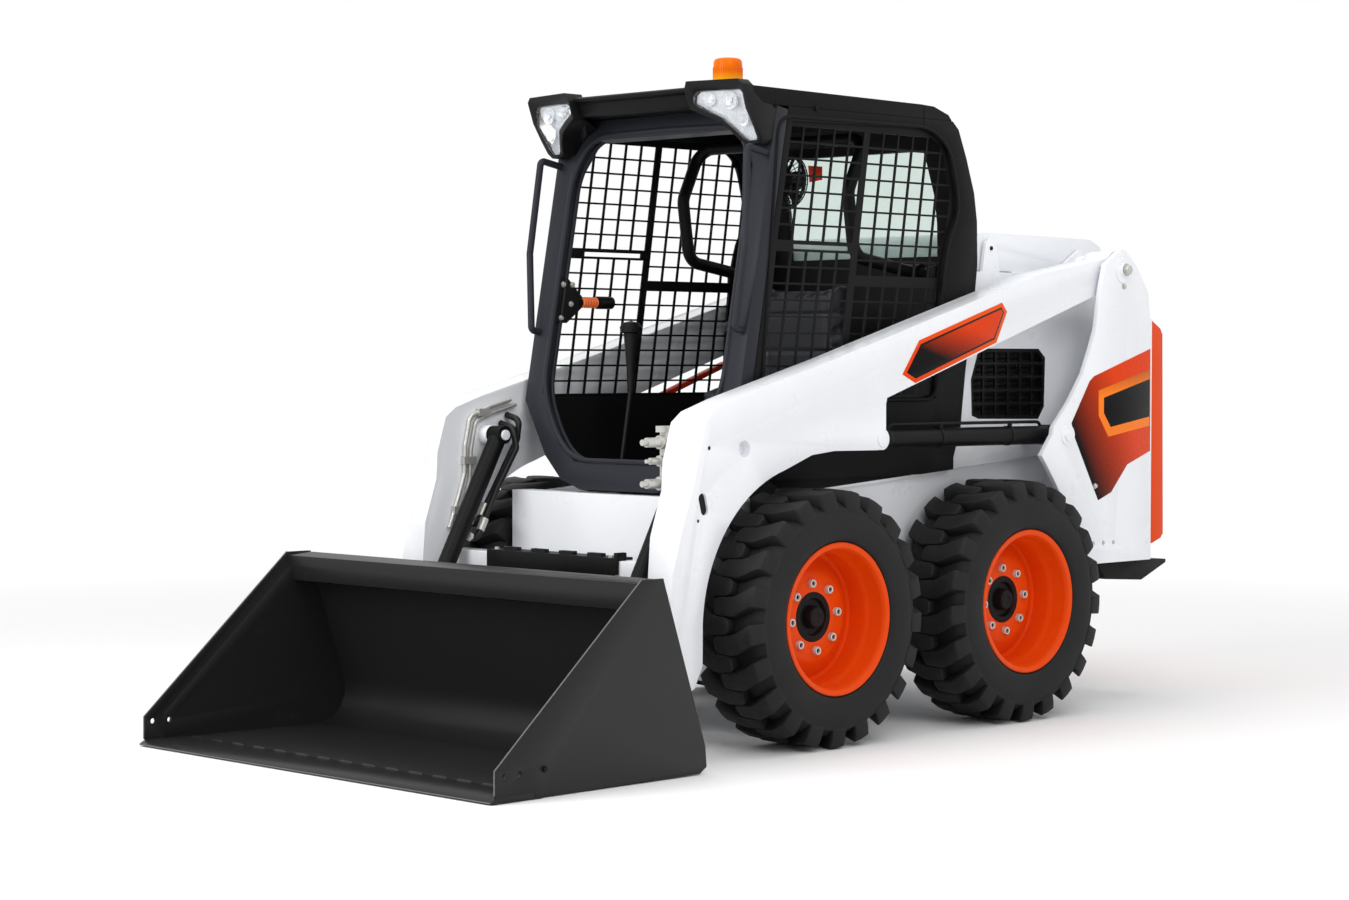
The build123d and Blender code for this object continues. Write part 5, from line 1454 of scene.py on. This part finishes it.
bpy.ops.mesh.primitive_plane_add(size=FLOOR_SIZE, location=(0, 0, -0.0005))
floor = bpy.context.object
floor.name = "floor"
floor_material, floor_tree, floor_shader = new_finish("floor_white", (0.90, 0.90, 0.90), 0.9)
floor_point = object_point(floor_tree)
reach = add_node(floor_tree, "ShaderNodeVectorMath", {0: floor_point}, operation="LENGTH").outputs["Value"]
fade = spread(floor_tree, reach, FADE_FROM, FADE_TO)
paper = spread(floor_tree, noise(floor_tree, floor_point, 40.0, 3.0), 0.3, 0.7, 0.86, 0.92)
floor_tree.links.new(paper, floor_shader.inputs["Roughness"])
glow = add_node(floor_tree, "ShaderNodeEmission", {"Color": (1, 1, 1, 1), "Strength": 1.0})
both = {0: fade, 1: floor_shader.outputs["BSDF"], 2: glow.outputs["Emission"]}
faded = add_node(floor_tree, "ShaderNodeMixShader", both)
floor_tree.links.new(faded.outputs["Shader"], floor_tree.nodes["Material Output"].inputs["Surface"])
floor.data.materials.append(floor_material)
floor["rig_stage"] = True
print("the floor fades from", FADE_FROM, "to", FADE_TO, "m")

# %% [markdown]
# ## Surround
# The surround looks white to the camera, to mirrors and through glass, and lights the machine at a
# lower level. A Light Path node tells those rays from the others.

# %% Surround
SURROUND = 0.64

world = bpy.data.worlds.new("surround")
bpy.context.scene.world = world
world.use_nodes = True
world_tree = world.node_tree
background = world_tree.nodes["Background"]
rays = add_node(world_tree, "ShaderNodeLightPath").outputs
seen = arithmetic(world_tree, "MAXIMUM", rays["Is Camera Ray"], rays["Is Glossy Ray"])
seen = arithmetic(world_tree, "MAXIMUM", seen, rays["Is Transmission Ray"])
background.inputs["Color"].default_value = (1, 1, 1, 1)
world_tree.links.new(spread(world_tree, seen, 0, 1, SURROUND, 1.0), background.inputs["Strength"])
print("the surround lights the machine at", SURROUND)

# %% [markdown]
# ## Lamps
# Three large area lamps give soft shadows: one high at the front left, one in front, and one overhead.
# Each is turned to look at the machine's middle.


# %% Lamps
def soft_lamp(name, place, size, watts):
    data = bpy.data.lights.new(name, "AREA")
    data.shape = "RECTANGLE"
    data.size, data.size_y = size
    data.energy = watts
    lamp = bpy.data.objects.new(name, data)
    lamp.location = place
    lamp.rotation_mode = "QUATERNION"
    lamp.rotation_quaternion = (Vector((0, 0, 0.8)) - Vector(place)).to_track_quat("-Z", "Y")
    bpy.context.scene.collection.objects.link(lamp)


soft_lamp("key", (3.5, 6.5, 6.0), (5.0, 4.0), 230)
soft_lamp("front", (7.5, -1.0, 4.5), (4.0, 4.0), 320)
soft_lamp("top", (0.0, 0.0, 7.0), (6.0, 6.0), 170)
print("lamps:", len(bpy.data.lights))

# %% [markdown]
# ## Finish
# The size of the dressed machine is printed.

# %% Print the dressed size
low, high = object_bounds()
print("dressed size:", [round(top - bottom, 3) for bottom, top in zip(low, high)])
